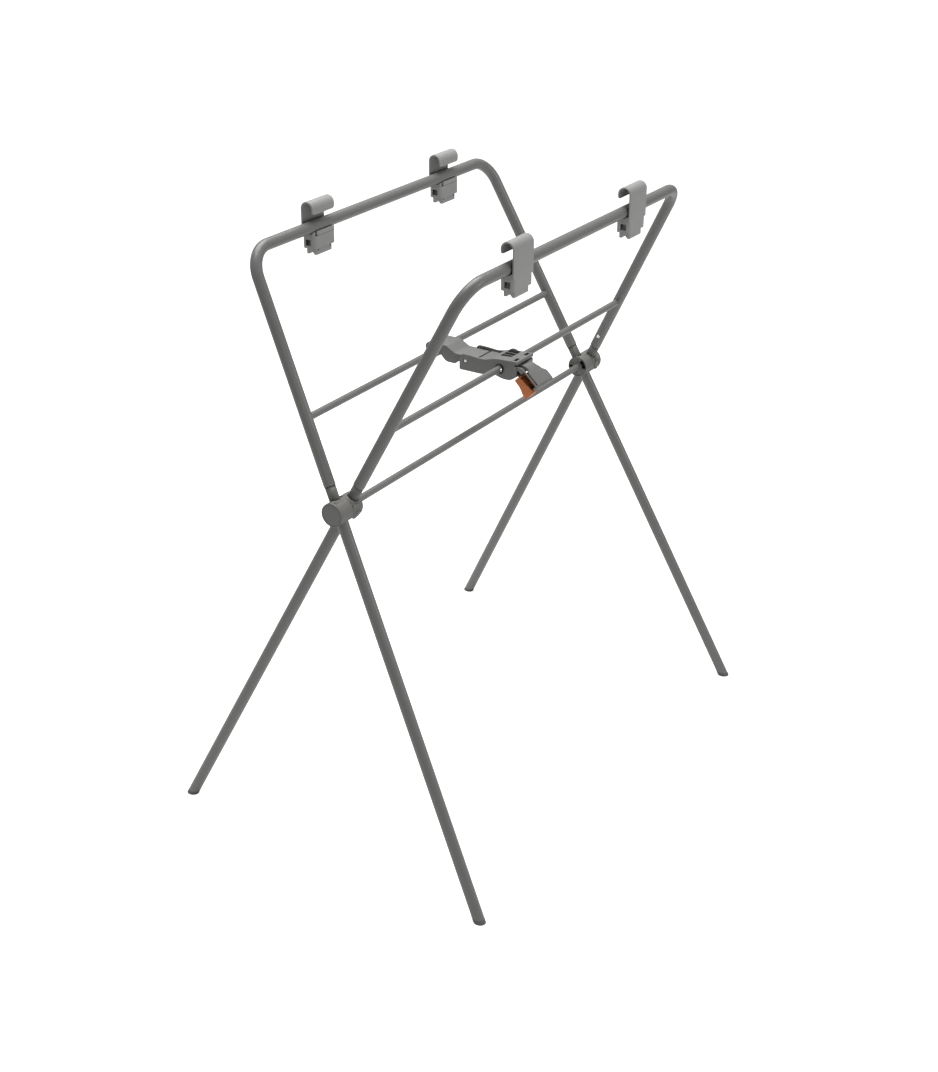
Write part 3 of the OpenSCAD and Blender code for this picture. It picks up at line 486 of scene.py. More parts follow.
def new_group(
    name: str, inputs: dict[str, object], outputs: dict[str, type],
) -> tuple[NodeSheet, dict[str, Socket], bpy.types.Node]:
    """Start a shader node group with named sockets.

    Args:
        name: The group's name.
        inputs: The default by input name: a number, a colour, or None for a place.
        outputs: What comes out by output name: float, or tuple for a colour.

    Returns:
        Its sheet, what it is given by input name, and its end.
    """
    tree = bpy.data.node_groups.new(name, "ShaderNodeTree")
    for key, default in inputs.items():
        socket = tree.interface.new_socket(key, in_out="INPUT", socket_type=SOCKETS[type(default)])
        if default is not None:
            socket.default_value = default
    for key, kind in outputs.items():
        tree.interface.new_socket(key, in_out="OUTPUT", socket_type=SOCKETS[kind])
    start, end = tree.nodes.new("NodeGroupInput"), tree.nodes.new("NodeGroupOutput")
    return NodeSheet(tree), {socket.name: socket for socket in start.outputs}, end


def grain_group() -> bpy.types.NodeTree:
    """Make the fine moulded or sprayed grain that plastics and lacquer share."""
    sheet, given, end = new_group(
        "fine_grain", {"Vector": None, "Scale": 900.0, "Colour": PLAIN, "Mottle": 0.08},
        {"Colour": tuple, "Height": float})
    fine = sheet.noise(given["Vector"], given["Scale"], 3.0, 0.6)
    broad = sheet.noise(given["Vector"], sheet.maths("MULTIPLY", given["Scale"], 0.03), 4.0, 0.55)
    centred = sheet.maths("SUBTRACT", sheet.maths("ADD", fine, broad), 1.0)
    lifted = sheet.maths("ADD", sheet.maths("MULTIPLY", centred, given["Mottle"]), 1.0)
    sheet.feed(end, {"Colour": sheet.scaled(given["Colour"], lifted), "Height": fine})
    return sheet.tree


def handling_group() -> bpy.types.NodeTree:
    """Make the faint rub marks and settled dust of things that are handled."""
    sheet, given, end = new_group(
        "handling_marks",
        {"Vector": None, "Colour": PLAIN, "Worn Colour": PALE, "Rub": 0.15, "Roughness": 0.5,
         "Dust": 0.06}, {"Colour": tuple, "Roughness": float})
    stretch = sheet.add("Mapping", {"Vector": given["Vector"], "Scale": (260.0, 34.0, 120.0)})
    rub = sheet.noise(stretch.outputs[0], 1.0, 5.0, 0.7)
    amount = sheet.maths("MULTIPLY", sheet.ramp(rub, 0.58, 0.78), given["Rub"])
    worn = sheet.blend(amount, given["Colour"], given["Worn Colour"])
    split = sheet.add("SeparateXYZ", {0: sheet.add("NewGeometry").outputs["Normal"]})
    cloud = sheet.noise(given["Vector"], 55.0, 6.0)
    settled = sheet.maths("MULTIPLY", sheet.ramp(split.outputs["Z"], 0.45, 1.0), cloud)
    dusty = sheet.blend(sheet.maths("MULTIPLY", settled, given["Dust"]), worn, (0.5, 0.49, 0.46, 1))
    polish = sheet.maths("MULTIPLY", amount, -0.6)
    change = sheet.maths("ADD", polish, sheet.maths("MULTIPLY_ADD", cloud, 0.12, -0.06))
    rough = sheet.maths("ADD", given["Roughness"], change, use_clamp=True)
    sheet.feed(end, {"Colour": dusty, "Roughness": rough})
    return sheet.tree


def edge_wear_group() -> bpy.types.NodeTree:
    """Make the wear that shows along edges, broken up by a noise."""
    sheet, given, end = new_group(
        "edge_wear", {"Vector": None, "Colour": PLAIN, "Worn Colour": PALE, "Amount": 0.4},
        {"Colour": tuple})
    rounded = sheet.add("Bevel", {"Radius": 0.0007}, samples=4)
    bend = sheet.add("VectorMath", {
        0: rounded.outputs[0], 1: sheet.add("NewGeometry").outputs["Normal"]}, operation="DOT_PRODUCT")
    broken = sheet.ramp(sheet.noise(given["Vector"], 320.0, 4.0), 0.35, 0.6, 0.2)
    worn = sheet.maths("MULTIPLY", sheet.ramp(bend.outputs["Value"], 0.995, 0.85), broken)
    amount = sheet.maths("MULTIPLY", worn, given["Amount"])
    sheet.feed(end, {"Colour": sheet.blend(amount, given["Colour"], given["Worn Colour"])})
    return sheet.tree


def recess_shade_group() -> bpy.types.NodeTree:
    """Paint shade into the colour of narrow gaps, pockets and slots: darker where the ambient occlusion is deeper.
    """
    sheet, given, end = new_group(
        "painted_recess_shade", {"Colour": PLAIN, "Darkest": 0.1}, {"Colour": tuple})
    # painted shade: the base colour is scaled down towards Darkest where ambient occlusion finds little open sky
    open_sky = sheet.add("AmbientOcclusion", {"Distance": 0.012}, samples=6)
    depth = sheet.ramp(open_sky.outputs["AO"], 0.22, 0.62, given["Darkest"])
    sheet.feed(end, {"Colour": sheet.scaled(given["Colour"], depth)})
    return sheet.tree


@dataclass(frozen=True)
class Finish:
    """One surface: its colours, its grain and how it takes handling."""

    name: str
    colour: Colour
    worn: Colour
    roughness: float
    grain: float
    mottle: float
    bump: float
    rub: float = 0.12
    dust: float = 0.06
    metallic: float = 0.0
    coat: float = 0.0
    specular: float = 0.5
    edge: float = 0.45

    def make(self, groups: dict[str, bpy.types.NodeTree]) -> bpy.types.Material:
        """Build the finish's material.

        Args:
            groups: The shared shader groups, by name.

        Returns:
            The material.
        """
        colour, worn = (*self.colour, 1), (*self.worn, 1)
        material = bpy.data.materials.new(self.name)
        material.use_nodes = True
        material.diffuse_color = colour
        sheet = NodeSheet(material.node_tree)
        place = sheet.add("TexCoord").outputs["Object"]
        grain = sheet.group(groups["grain"], {
            "Vector": place, "Scale": self.grain, "Mottle": self.mottle, "Colour": colour})
        marks = sheet.group(groups["handling"], {
            "Vector": place, "Colour": grain["Colour"], "Worn Colour": worn, "Rub": self.rub,
            "Dust": self.dust, "Roughness": self.roughness})
        edges = sheet.group(groups["edges"], {
            "Vector": place, "Colour": marks["Colour"], "Worn Colour": worn, "Amount": self.edge})
        # painted shade in gaps, pockets and slots, from the shared ambient-occlusion group
        recess_shade = sheet.group(groups["recess_shade"], {"Colour": edges["Colour"]})
        relief = sheet.add("Bump", {
            "Strength": self.bump, "Distance": 0.0002, "Height": grain["Height"]})
        sheet.feed(material.node_tree.nodes["Principled BSDF"], {
            "Metallic": self.metallic, "Coat Weight": self.coat, "Coat Roughness": 0.25,
            "Specular IOR Level": self.specular, "Base Color": recess_shade["Colour"],
            "Roughness": marks["Roughness"], "Normal": relief.outputs["Normal"]})
        return material


FINISHES = {
    "tube_lacquer": Finish(
        "grey_lacquer", (0.165, 0.164, 0.158), (0.3, 0.3, 0.29), 0.38, 1500.0, 0.10, 0.10,
        rub=0.05, dust=0.03, coat=0.12),
    "hub_plastic": Finish(
        "hub_plastic", (0.168, 0.166, 0.157), (0.3, 0.3, 0.29), 0.56, 1100.0, 0.10, 0.22),
    "hook_plastic": Finish(
        "hook_plastic", (0.31, 0.31, 0.303), (0.4, 0.4, 0.39), 0.55, 1200.0, 0.08, 0.2),
    "strut_plastic": Finish(
        "strut_plastic", (0.168, 0.167, 0.161), (0.3, 0.3, 0.29), 0.55, 1100.0, 0.10, 0.24),
    "stub_plastic": Finish(
        "stub_plastic", (0.128, 0.127, 0.121), (0.2, 0.2, 0.19), 0.5, 1000.0, 0.12, 0.25),
    "foot_plastic": Finish(
        "foot_plastic", (0.12, 0.118, 0.11), (0.22, 0.22, 0.21), 0.62, 1000.0, 0.12, 0.3, rub=0.25),
    "trigger_plastic": Finish(
        "orange_plastic", (0.56, 0.175, 0.055), (0.85, 0.48, 0.28), 0.48, 1200.0, 0.08, 0.18),
    "bright_steel": Finish(
        "bright_steel", (0.88, 0.88, 0.87), (0.8, 0.8, 0.78), 0.26, 2200.0, 0.06, 0.08,
        rub=0.3, dust=0.0, metallic=1.0),
}


class Palette:
    """Every finish of the stand, made once."""

    def __init__(self) -> None:
        """Build the shared groups and all the materials."""
        groups = {
            "grain": grain_group(), "handling": handling_group(), "edges": edge_wear_group(),
            "recess_shade": recess_shade_group(),
        }
        self.by_slot = {slot: finish.make(groups) for slot, finish in FINISHES.items()}

    def paint(self, piece: Piece, slot: str) -> None:
        """Give a piece the finish of one of the record's material slots, and nothing else."""
        piece.data.materials.clear()
        piece.data.materials.append(self.by_slot[slot])

    def dress_solids(self) -> None:
        """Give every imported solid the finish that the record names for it."""
        for part in frame["record"]["subparts"]:
            solid = frame["nodes"][part["node"]]
            self.paint(solid, part["material_slot"])

    def dress(
        self, piece: Piece, name: str, body: str, slot: str, node: str, angle: float = 32.0,
    ) -> None:
        """Name and dress a finished piece and hang it on its body.

        Args:
            piece: The piece, in its place.
            name: Its name.
            body: The body it moves with.
            slot: The record's material slot that it takes its finish from.
            node: The solid that it stands for.
            angle: The least turn between two faces that stays sharp, in degrees.
        """
        Bench.take(piece)
        bpy.ops.object.shade_smooth_by_angle(angle=math.radians(angle))
        piece.name = name
        piece.data.name = name
        self.paint(piece, slot)
        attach(piece, body)
        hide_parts(node)
        log.info("%s rides on %s, %d faces", name, body, len(piece.data.polygons))


# ---------------------------------------------------------------- places


class Side(Enum):
    """The two frames. B leans to +X, and A is B turned half a turn."""

    A = math.pi
    B = 0.0

    @property
    def key(self) -> str:
        """The letter that ends the frame's names."""
        return self.name.lower()

    @property
    def body(self) -> str:
        """The frame's body."""
        return f"frame_{self.key}"


@dataclass(frozen=True)
class Places:
    """Where the stand's axes are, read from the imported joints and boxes."""

    hub_z: float
    bar_x: float
    bar_z: float
    rail_x: float
    rail_z: float
    strut_y: float
    frame_offset: float = 11.8 * MM
    half_hub: float = 359.0 * MM
    splay: float = math.radians(5.914)

    @classmethod
    def read(cls, tube_r: float) -> "Places":
        """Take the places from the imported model.

        Args:
            tube_r: The radius of the frame tubes.

        Returns:
            The places.
        """
        joints = {joint["name"]: joint for joint in frame["joints"]}
        fold, arm = (joints[name]["pos_m"] for name in ("fold", "arm_swing"))
        _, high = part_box("rail_tube_b")
        arm_low, arm_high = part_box("strut_arm")
        return cls(
            hub_z=fold[2], bar_x=arm[0], bar_z=arm[2], rail_x=high.x - tube_r,
            rail_z=high.z - tube_r, strut_y=(arm_low.y + arm_high.y) / 2)

    @property
    def lean(self) -> float:
        """The lean of each frame from the vertical."""
        return math.atan2(self.bar_x, self.bar_z - self.hub_z)

    def in_frame(self, side: Side) -> Matrix:
        """The place of a frame's own axes, with y along the rail and z up the frame."""
        middle = Matrix.Translation((0, self.frame_offset, self.hub_z))
        return Matrix.Rotation(side.value, 4, "Z") @ middle @ Matrix.Rotation(self.lean, 4, "Y")

    def on_rail(self, side: Side, along: float) -> Matrix:
        """A place on a rail's axis, with x outward and z straight up."""
        middle = Matrix.Translation((self.rail_x, along, self.rail_z))
        return Matrix.Rotation(side.value, 4, "Z") @ middle

    def at_hub(self, side: Side, way: int) -> Matrix:
        """The place of a frame's own axes, moved to its far hub (1) or its near one (-1)."""
        return self.in_frame(side) @ Matrix.Translation((0, way * self.half_hub, 0))

    def on_strut(self, x: float) -> Matrix:
        """A place in the strut's middle plane, at the height of its axis."""
        return Matrix.Translation((x, self.strut_y, self.bar_z))


# ---------------------------------------------------------------- hubs


# The insets of a cap's face in mm, from its rim inward: how wide each is, and how far it rises.
CAP_STEPS = ((1.5, 0.0), (0.5, -0.7), (0.7, 0.0), (0.5, 0.4), (4.0, 0.12), (4.0, 0.08))


@dataclass
class Hub:
    """The moulded hub halves, their caps and screw covers."""

    places: Places
    palette: Palette
    barrel_r: float = 18.5 * MM
    outer_start: float = -11.6 * MM
    outer_end: float = 13.2 * MM
    inner_start: float = -11.8 * MM
    inner_end: float = 11.6 * MM
    block_w: float = 26.0 * MM
    block_reach: float = 15.0 * MM
    stub_r: float = 8.3 * MM
    leg_r: float = 9.05 * MM
    socket_start: float = 9.0 * MM
    mouth_gap: float = 0.6 * MM
    mouth_depth: float = 3.0 * MM
    cover_r: float = 6.75 * MM
    outer_turn: float = math.radians(22.0)
    inner_turn: float = math.radians(-4.0)
    cover_face: float = 19.2 * MM
    cover_root: float = 3.0 * MM
    ring_w: float = 1.7 * MM
    ring_depth: float = 1.0 * MM
    pad_wall: float = 1.2 * MM
    cap_t: float = 4.0 * MM
    rim_wall: float = 2.2 * MM
    collar_r: float = 8.3 * MM
    axle_r: float = 5.6 * MM
    axle_depth: float = 9.3 * MM
    pocket_depth: float = 8.0 * MM
    pocket_half: float = 8.0 * MM
    shallow: float = 1.1 * MM
    rib_t: float = 2.0 * MM
    voxel: float = 0.55 * MM
    smoothing: int = 7
    block_ease: float = 1.2 * MM

    def tube_axis(self, way: float) -> Matrix:
        """The turn from straight up to a tube's own direction, up (0) or down (half a turn)."""
        return Matrix.Rotation(self.places.splay, 4, "X") @ Matrix.Rotation(way, 4, "X")

    @staticmethod
    def cover_axis(turn: float) -> Matrix:
        """The turn from straight outward to a screw cover's own direction."""
        return Matrix.Rotation(-turn, 4, "Y")

    def body(self, start: float, end: float, turn: float) -> Piece:
        """Model a hub half's barrel, block and cover pad, and melt them together.

        Args:
            start: Where the half starts along the axle.
            end: Where it ends.
            turn: How far its screw cover is turned up from straight outward.

        Returns:
            The moulding before its holes are made.
        """
        piece = Bench.rod(self.barrel_r, (0, start, 0), end - start, Axis.Y, 128)
        half, spare = self.block_w / 2, self.block_reach * 1.4
        block = Bench.block((-half, start, -spare), (half, end, spare))
        for way in (0.0, math.pi):
            normal = self.tube_axis(way) @ Vector((0, 0, 1))
            Bench.slice(block, normal * self.block_reach, normal)
        Bench.join(piece, Bench.soften(block, self.block_ease))
        pad = Bench.rod(self.cover_r + self.ring_w + self.pad_wall, Vector(), self.cover_face, Axis.X)
        Bench.join(piece, Bench.moved(pad, self.cover_axis(turn)))
        return Bench.melt(piece, self.voxel, self.smoothing)

    def bore(self, piece: Piece, turn: float) -> Piece:
        """Cut the stub's and the leg's sockets, the stub's mouth and the ring round the screw cover.

        Args:
            piece: The moulding.
            turn: How far its screw cover is turned up from straight outward.

        Returns:
            The moulding with its holes.
        """
        for way, radius, start in (
            (0.0, self.stub_r, self.socket_start),
            (0.0, self.stub_r + self.mouth_gap, self.block_reach - self.mouth_depth),
            (math.pi, self.leg_r, self.socket_start),
        ):
            drill = Bench.rod(radius, (0, 0, start), 30 * MM, Axis.Z)
            Bench.cut(piece, Bench.moved(drill, self.tube_axis(way)))
        ring = Bench.rod(
            self.cover_r + self.ring_w, (self.cover_face - self.ring_depth, 0, 0), 10 * MM, Axis.X)
        return Bench.cut(piece, Bench.moved(Bench.soften(ring, 0.4 * MM, 2), self.cover_axis(turn)))

    def outer_half(self) -> Piece:
        """Model the half that carries the cap."""
        turn = self.outer_turn
        return self.bore(self.body(self.outer_start, self.outer_end, turn), turn)

    def pockets(self, depth: float, half_height: float) -> Piece:
        """Model the cutter for the ribbed open end.

        Args:
            depth: How deep it cuts.
            half_height: How far it reaches over and under the axle.

        Returns:
            The cutter.
        """
        front, far = self.inner_start - 2 * MM, self.inner_start + depth + 2 * MM
        piece = Bench.rod(
            self.barrel_r - self.rim_wall, (0, self.inner_start - MM, 0), depth + MM, Axis.Y)
        Bench.cut(piece, Bench.rod(self.collar_r, (0, front, 0), depth + 4 * MM, Axis.Y))
        rib, band = (
            ((-self.barrel_r, front, -half), (self.barrel_r, far, half))
            for half in (self.rib_t / 2, half_height))
        for angle in (math.pi / 4, -math.pi / 4):
            Bench.cut(piece, Bench.moved(Bench.block(*rib), Matrix.Rotation(angle, 4, "Y")))
        return Bench.keep(piece, Bench.block(*band))

    def inner_half(self) -> Piece:
        """Model the half that holds the axle tube, with its open ribbed end."""
        turn = self.inner_turn
        piece = self.bore(self.body(self.inner_start, self.inner_end, turn), turn)
        axle = Bench.rod(self.axle_r, (0, self.inner_start - MM, 0), self.axle_depth + MM, Axis.Y)
        shallow, deep = (
            self.pockets(depth, half)
            for depth, half in ((self.shallow, self.barrel_r), (self.pocket_depth, self.pocket_half)))
        return Bench.mirrored(Bench.cut(piece, axle, shallow, deep))

    def cap(self) -> Piece:
        """Model a cap: a disc with a raised rim, a ring groove and a slightly crowned middle."""
        Bench.clear()
        bpy.ops.mesh.primitive_cylinder_add(
            vertices=128, radius=self.barrel_r, depth=self.cap_t,
            location=(0, self.outer_end + self.cap_t / 2, 0), rotation=Axis.Y.value)
        piece = Bench.settle(bpy.context.object)
        with Bench.editing(piece, "FACE", "DESELECT"):
            faces = bmesh.from_edit_mesh(piece.data).faces
            max(faces, key=lambda face: face.calc_center_median().y).select = True
            bmesh.update_edit_mesh(piece.data)
            for width, rise in CAP_STEPS:
                bpy.ops.mesh.inset(thickness=width * MM, depth=rise * MM)
        Bench.soften(piece, 0.5 * MM, 3, 60)
        return Bench.join(piece, Bench.rod(12 * MM, (0, self.outer_end - 2 * MM, 0), 2.2 * MM, Axis.Y))

    def cover(self, turn: float) -> Piece:
        """Model a screw cover: a round plug with a domed end.

        Args:
            turn: How far it is turned up from straight outward.

        Returns:
            The cover.
        """
        rim = self.cover_face
        piece = Bench.rod(self.cover_r, (rim - self.cover_root, 0, 0), 3.8 * MM, Axis.X, 96)
        Bench.round_corners(piece, lambda a, b: a.x > rim and b.x > rim, 1.5 * MM, 6)
        return Bench.moved(piece, self.cover_axis(turn))

    def build(self) -> None:
        """Model each kind once and set its copies on both frames."""
        outer, inner, cap = self.outer_half(), self.inner_half(), self.cap()
        for side in Side:
            far, near = self.places.at_hub(side, 1), self.places.at_hub(side, -1)
            for kind, source, place in (
                ("outer", outer, far), ("inner", inner, near), ("cap", cap, far),
            ):
                self.palette.dress(
                    Bench.moved(Bench.twin(source), place), f"{kind}_hub_{side.key}", side.body,
                    "hub_plastic", f"hub_{kind}_{side.key}")
            covers = Bench.moved(self.cover(self.outer_turn), far)
            second = Bench.moved(self.cover(self.inner_turn), near)
            Bench.take(covers)
            second.select_set(True)
            bpy.ops.object.join()
            self.palette.dress(covers, f"cover_plugs_{side.key}", side.body, "hub_plastic",
                               f"screw_covers_{side.key}")
        Bench.discard(outer, inner, cap)


# ---------------------------------------------------------------- hooks


@dataclass
class TubHook:
    """The sliding hooks over the rails and the saddles they slide on."""

    places: Places
    palette: Palette
    tube_r: float = 9.0 * MM
    width: float = 54.0 * MM
    wall: float = 2.5 * MM
    out: float = 13.0 * MM
    belt_in: float = 10.7 * MM
    curl_r: float = 11.0 * MM
    curl_up: float = 28.15 * MM
    tongue: float = 8.0 * MM
    tongue_round: float = 5.0 * MM
    belt_len: float = 52.0 * MM
    belt_top: float = 12.3 * MM
    belt_h: float = 19.5 * MM
    belt_round: float = 5.5 * MM
    ear: float = 6.0 * MM
    rail_gap: float = 1.2 * MM
    window_w: float = 10.0 * MM
    window_h: float = 9.5 * MM
    window_up: float = 4.0 * MM
    saddle_len: float = 38.0 * MM
    saddle_drop: float = 42.3 * MM
    lip_drop: float = 5.3 * MM
    notch_w: float = 11.0 * MM
    notch_h: float = 6.0 * MM
    gap: float = 0.3 * MM
    inset: float = 0.02 * MM
    ease: float = 0.5 * MM
    well_r: float = 3.75 * MM
    well_depth: float = 26.3 * MM
    well_off: float = 10.0 * MM
    slot_off: float = 4.0 * MM
    slot_h: float = 19.0 * MM

    def strap(self) -> Piece:
        """Model the strap with its curl and hanging tongue."""
        centre_x = self.out - self.curl_r
        centre = (centre_x, self.curl_up)
        low, tip_z = -self.belt_top - self.wall, self.curl_up - self.tongue
        tip_x = centre_x - self.curl_r + self.wall
        outline = [
            (self.out, low), *arc(centre, self.curl_r, 0, 180, 28),
            (centre_x - self.curl_r, tip_z), (tip_x, tip_z),
            *arc(centre, self.curl_r - self.wall, 180, 0, 28), (self.out - self.wall, low),
        ]
        half = self.width / 2
        piece = Bench.prism(outline, -half, half)
        tiny = 0.01 * MM

        def tip_corner(a: Vector, b: Vector) -> bool:
            """Whether an edge is a corner of the tongue's tip, running through its thickness."""
            return (
                abs(a.z - tip_z) < tiny and abs(b.z - tip_z) < tiny
                and a.x < tip_x + tiny and b.x < tip_x + tiny and abs(a.y - b.y) < tiny
            )

        Bench.round_corners(piece, tip_corner, self.tongue_round, 8)
        return Bench.soften(piece, 0.55 * MM, 3, 40)

    def belt(self) -> Piece:
        """Model the box under the rail, open at top and bottom."""
        half = self.belt_len / 2
        bottom = -self.belt_top - self.belt_h
        piece = Bench.block(
            (-self.belt_in, -half, bottom), (self.out - self.inset, half, -self.belt_top))

        def standing(a: Vector, b: Vector) -> bool:
            """Whether an edge stands upright."""
            return abs(a.z - b.z) > MM

        Bench.round_corners(piece, standing, self.belt_round, 8)
        ears = Bench.block(
            (-self.belt_in + self.wall, self.inset - half, -self.belt_top - 2 * MM),
            (self.out - self.wall / 2, half - self.inset, -self.belt_top + self.ear))
        Bench.join(piece, ears)
        Bench.soften(piece, self.ease, 3, 40)
        inside = Bench.block(
            (-self.belt_in + self.wall - self.inset, -half + self.wall, bottom - MM),
            (self.out - self.wall - self.inset, half - self.wall, 5 * MM))
        Bench.round_corners(inside, standing, self.belt_round - self.wall, 6)
        return Bench.cut(piece, inside)

    def hook(self) -> Piece:
        """Model a whole hook."""
        piece = Bench.join(self.strap(), self.belt())
        Bench.cut(piece, Bench.across(self.tube_r + self.rail_gap, self.width))
        middle = self.out - self.curl_r
        sill = -self.belt_top - self.belt_h + self.window_up
        window = Bench.block(
            (middle - self.window_w / 2, -self.width, sill),
            (middle + self.window_w / 2, self.width, sill + self.window_h))
        Bench.round_corners(window, lambda a, b: abs(a.y - b.y) > MM, 1.0 * MM, 3)
        return Bench.cut(piece, window)

    def saddle(self) -> Piece:
        """Model the saddle block under the rail, with its lip, feet and slots."""
        inner, outer = self.belt_in - self.wall - self.gap, self.out - self.wall - self.gap
        half, middle = self.saddle_len / 2, (outer - inner) / 2
        piece = Bench.block((-inner, -half, -self.saddle_drop), (outer, half, -self.lip_drop))
        lip = Bench.block(
            (-self.belt_in, -half, self.gap - self.belt_top), (-inner + MM, half, -self.lip_drop))
        Bench.join(piece, lip)
        low, foot = -self.saddle_drop - MM, -self.saddle_drop + self.notch_h
        Bench.cut(piece, Bench.prism(
            [(middle - self.notch_w / 2, low), (middle, foot), (middle + self.notch_w / 2, low)],
            -2 * half, 2 * half))
        Bench.soften(piece, self.ease, 2, 40)
        Bench.cut(piece, Bench.across(self.tube_r + 0.05 * MM, 2 * half))
        for at in (-half + self.slot_off, half - self.slot_off):
            Bench.cut(piece, Bench.block(
                (-inner - MM, at - MM, foot), (-inner + 2 * MM, at + MM, foot + self.slot_h)))
        for at in (-self.well_off, self.well_off):
            Bench.cut(piece, Bench.rod(self.well_r, (0, at, low), self.well_depth, Axis.Z, 48))
        return piece

    def build(self) -> None:
        """Model each kind once and set the four copies on the rails."""
        hook, saddle = self.hook(), self.saddle()
        for side in Side:
            turn = -1 if side is Side.A else 1
            for end in ("near", "far"):
                key = f"{side.key}_{end}"
                low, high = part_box(f"hook_{key}")
                place = self.places.on_rail(side, turn * (low.y + high.y) / 2)
                for source, name, body, node in (
                    (hook, f"tub_hook_{key}", f"hook_{key}", f"hook_{key}"),
                    (saddle, f"rail_saddle_{key}", side.body, f"saddle_{key}"),
                ):
                    piece = Bench.moved(Bench.twin(source), place)
                    self.palette.dress(piece, name, body, "hook_plastic", node)
        Bench.discard(hook, saddle)


# ---------------------------------------------------------------- strut


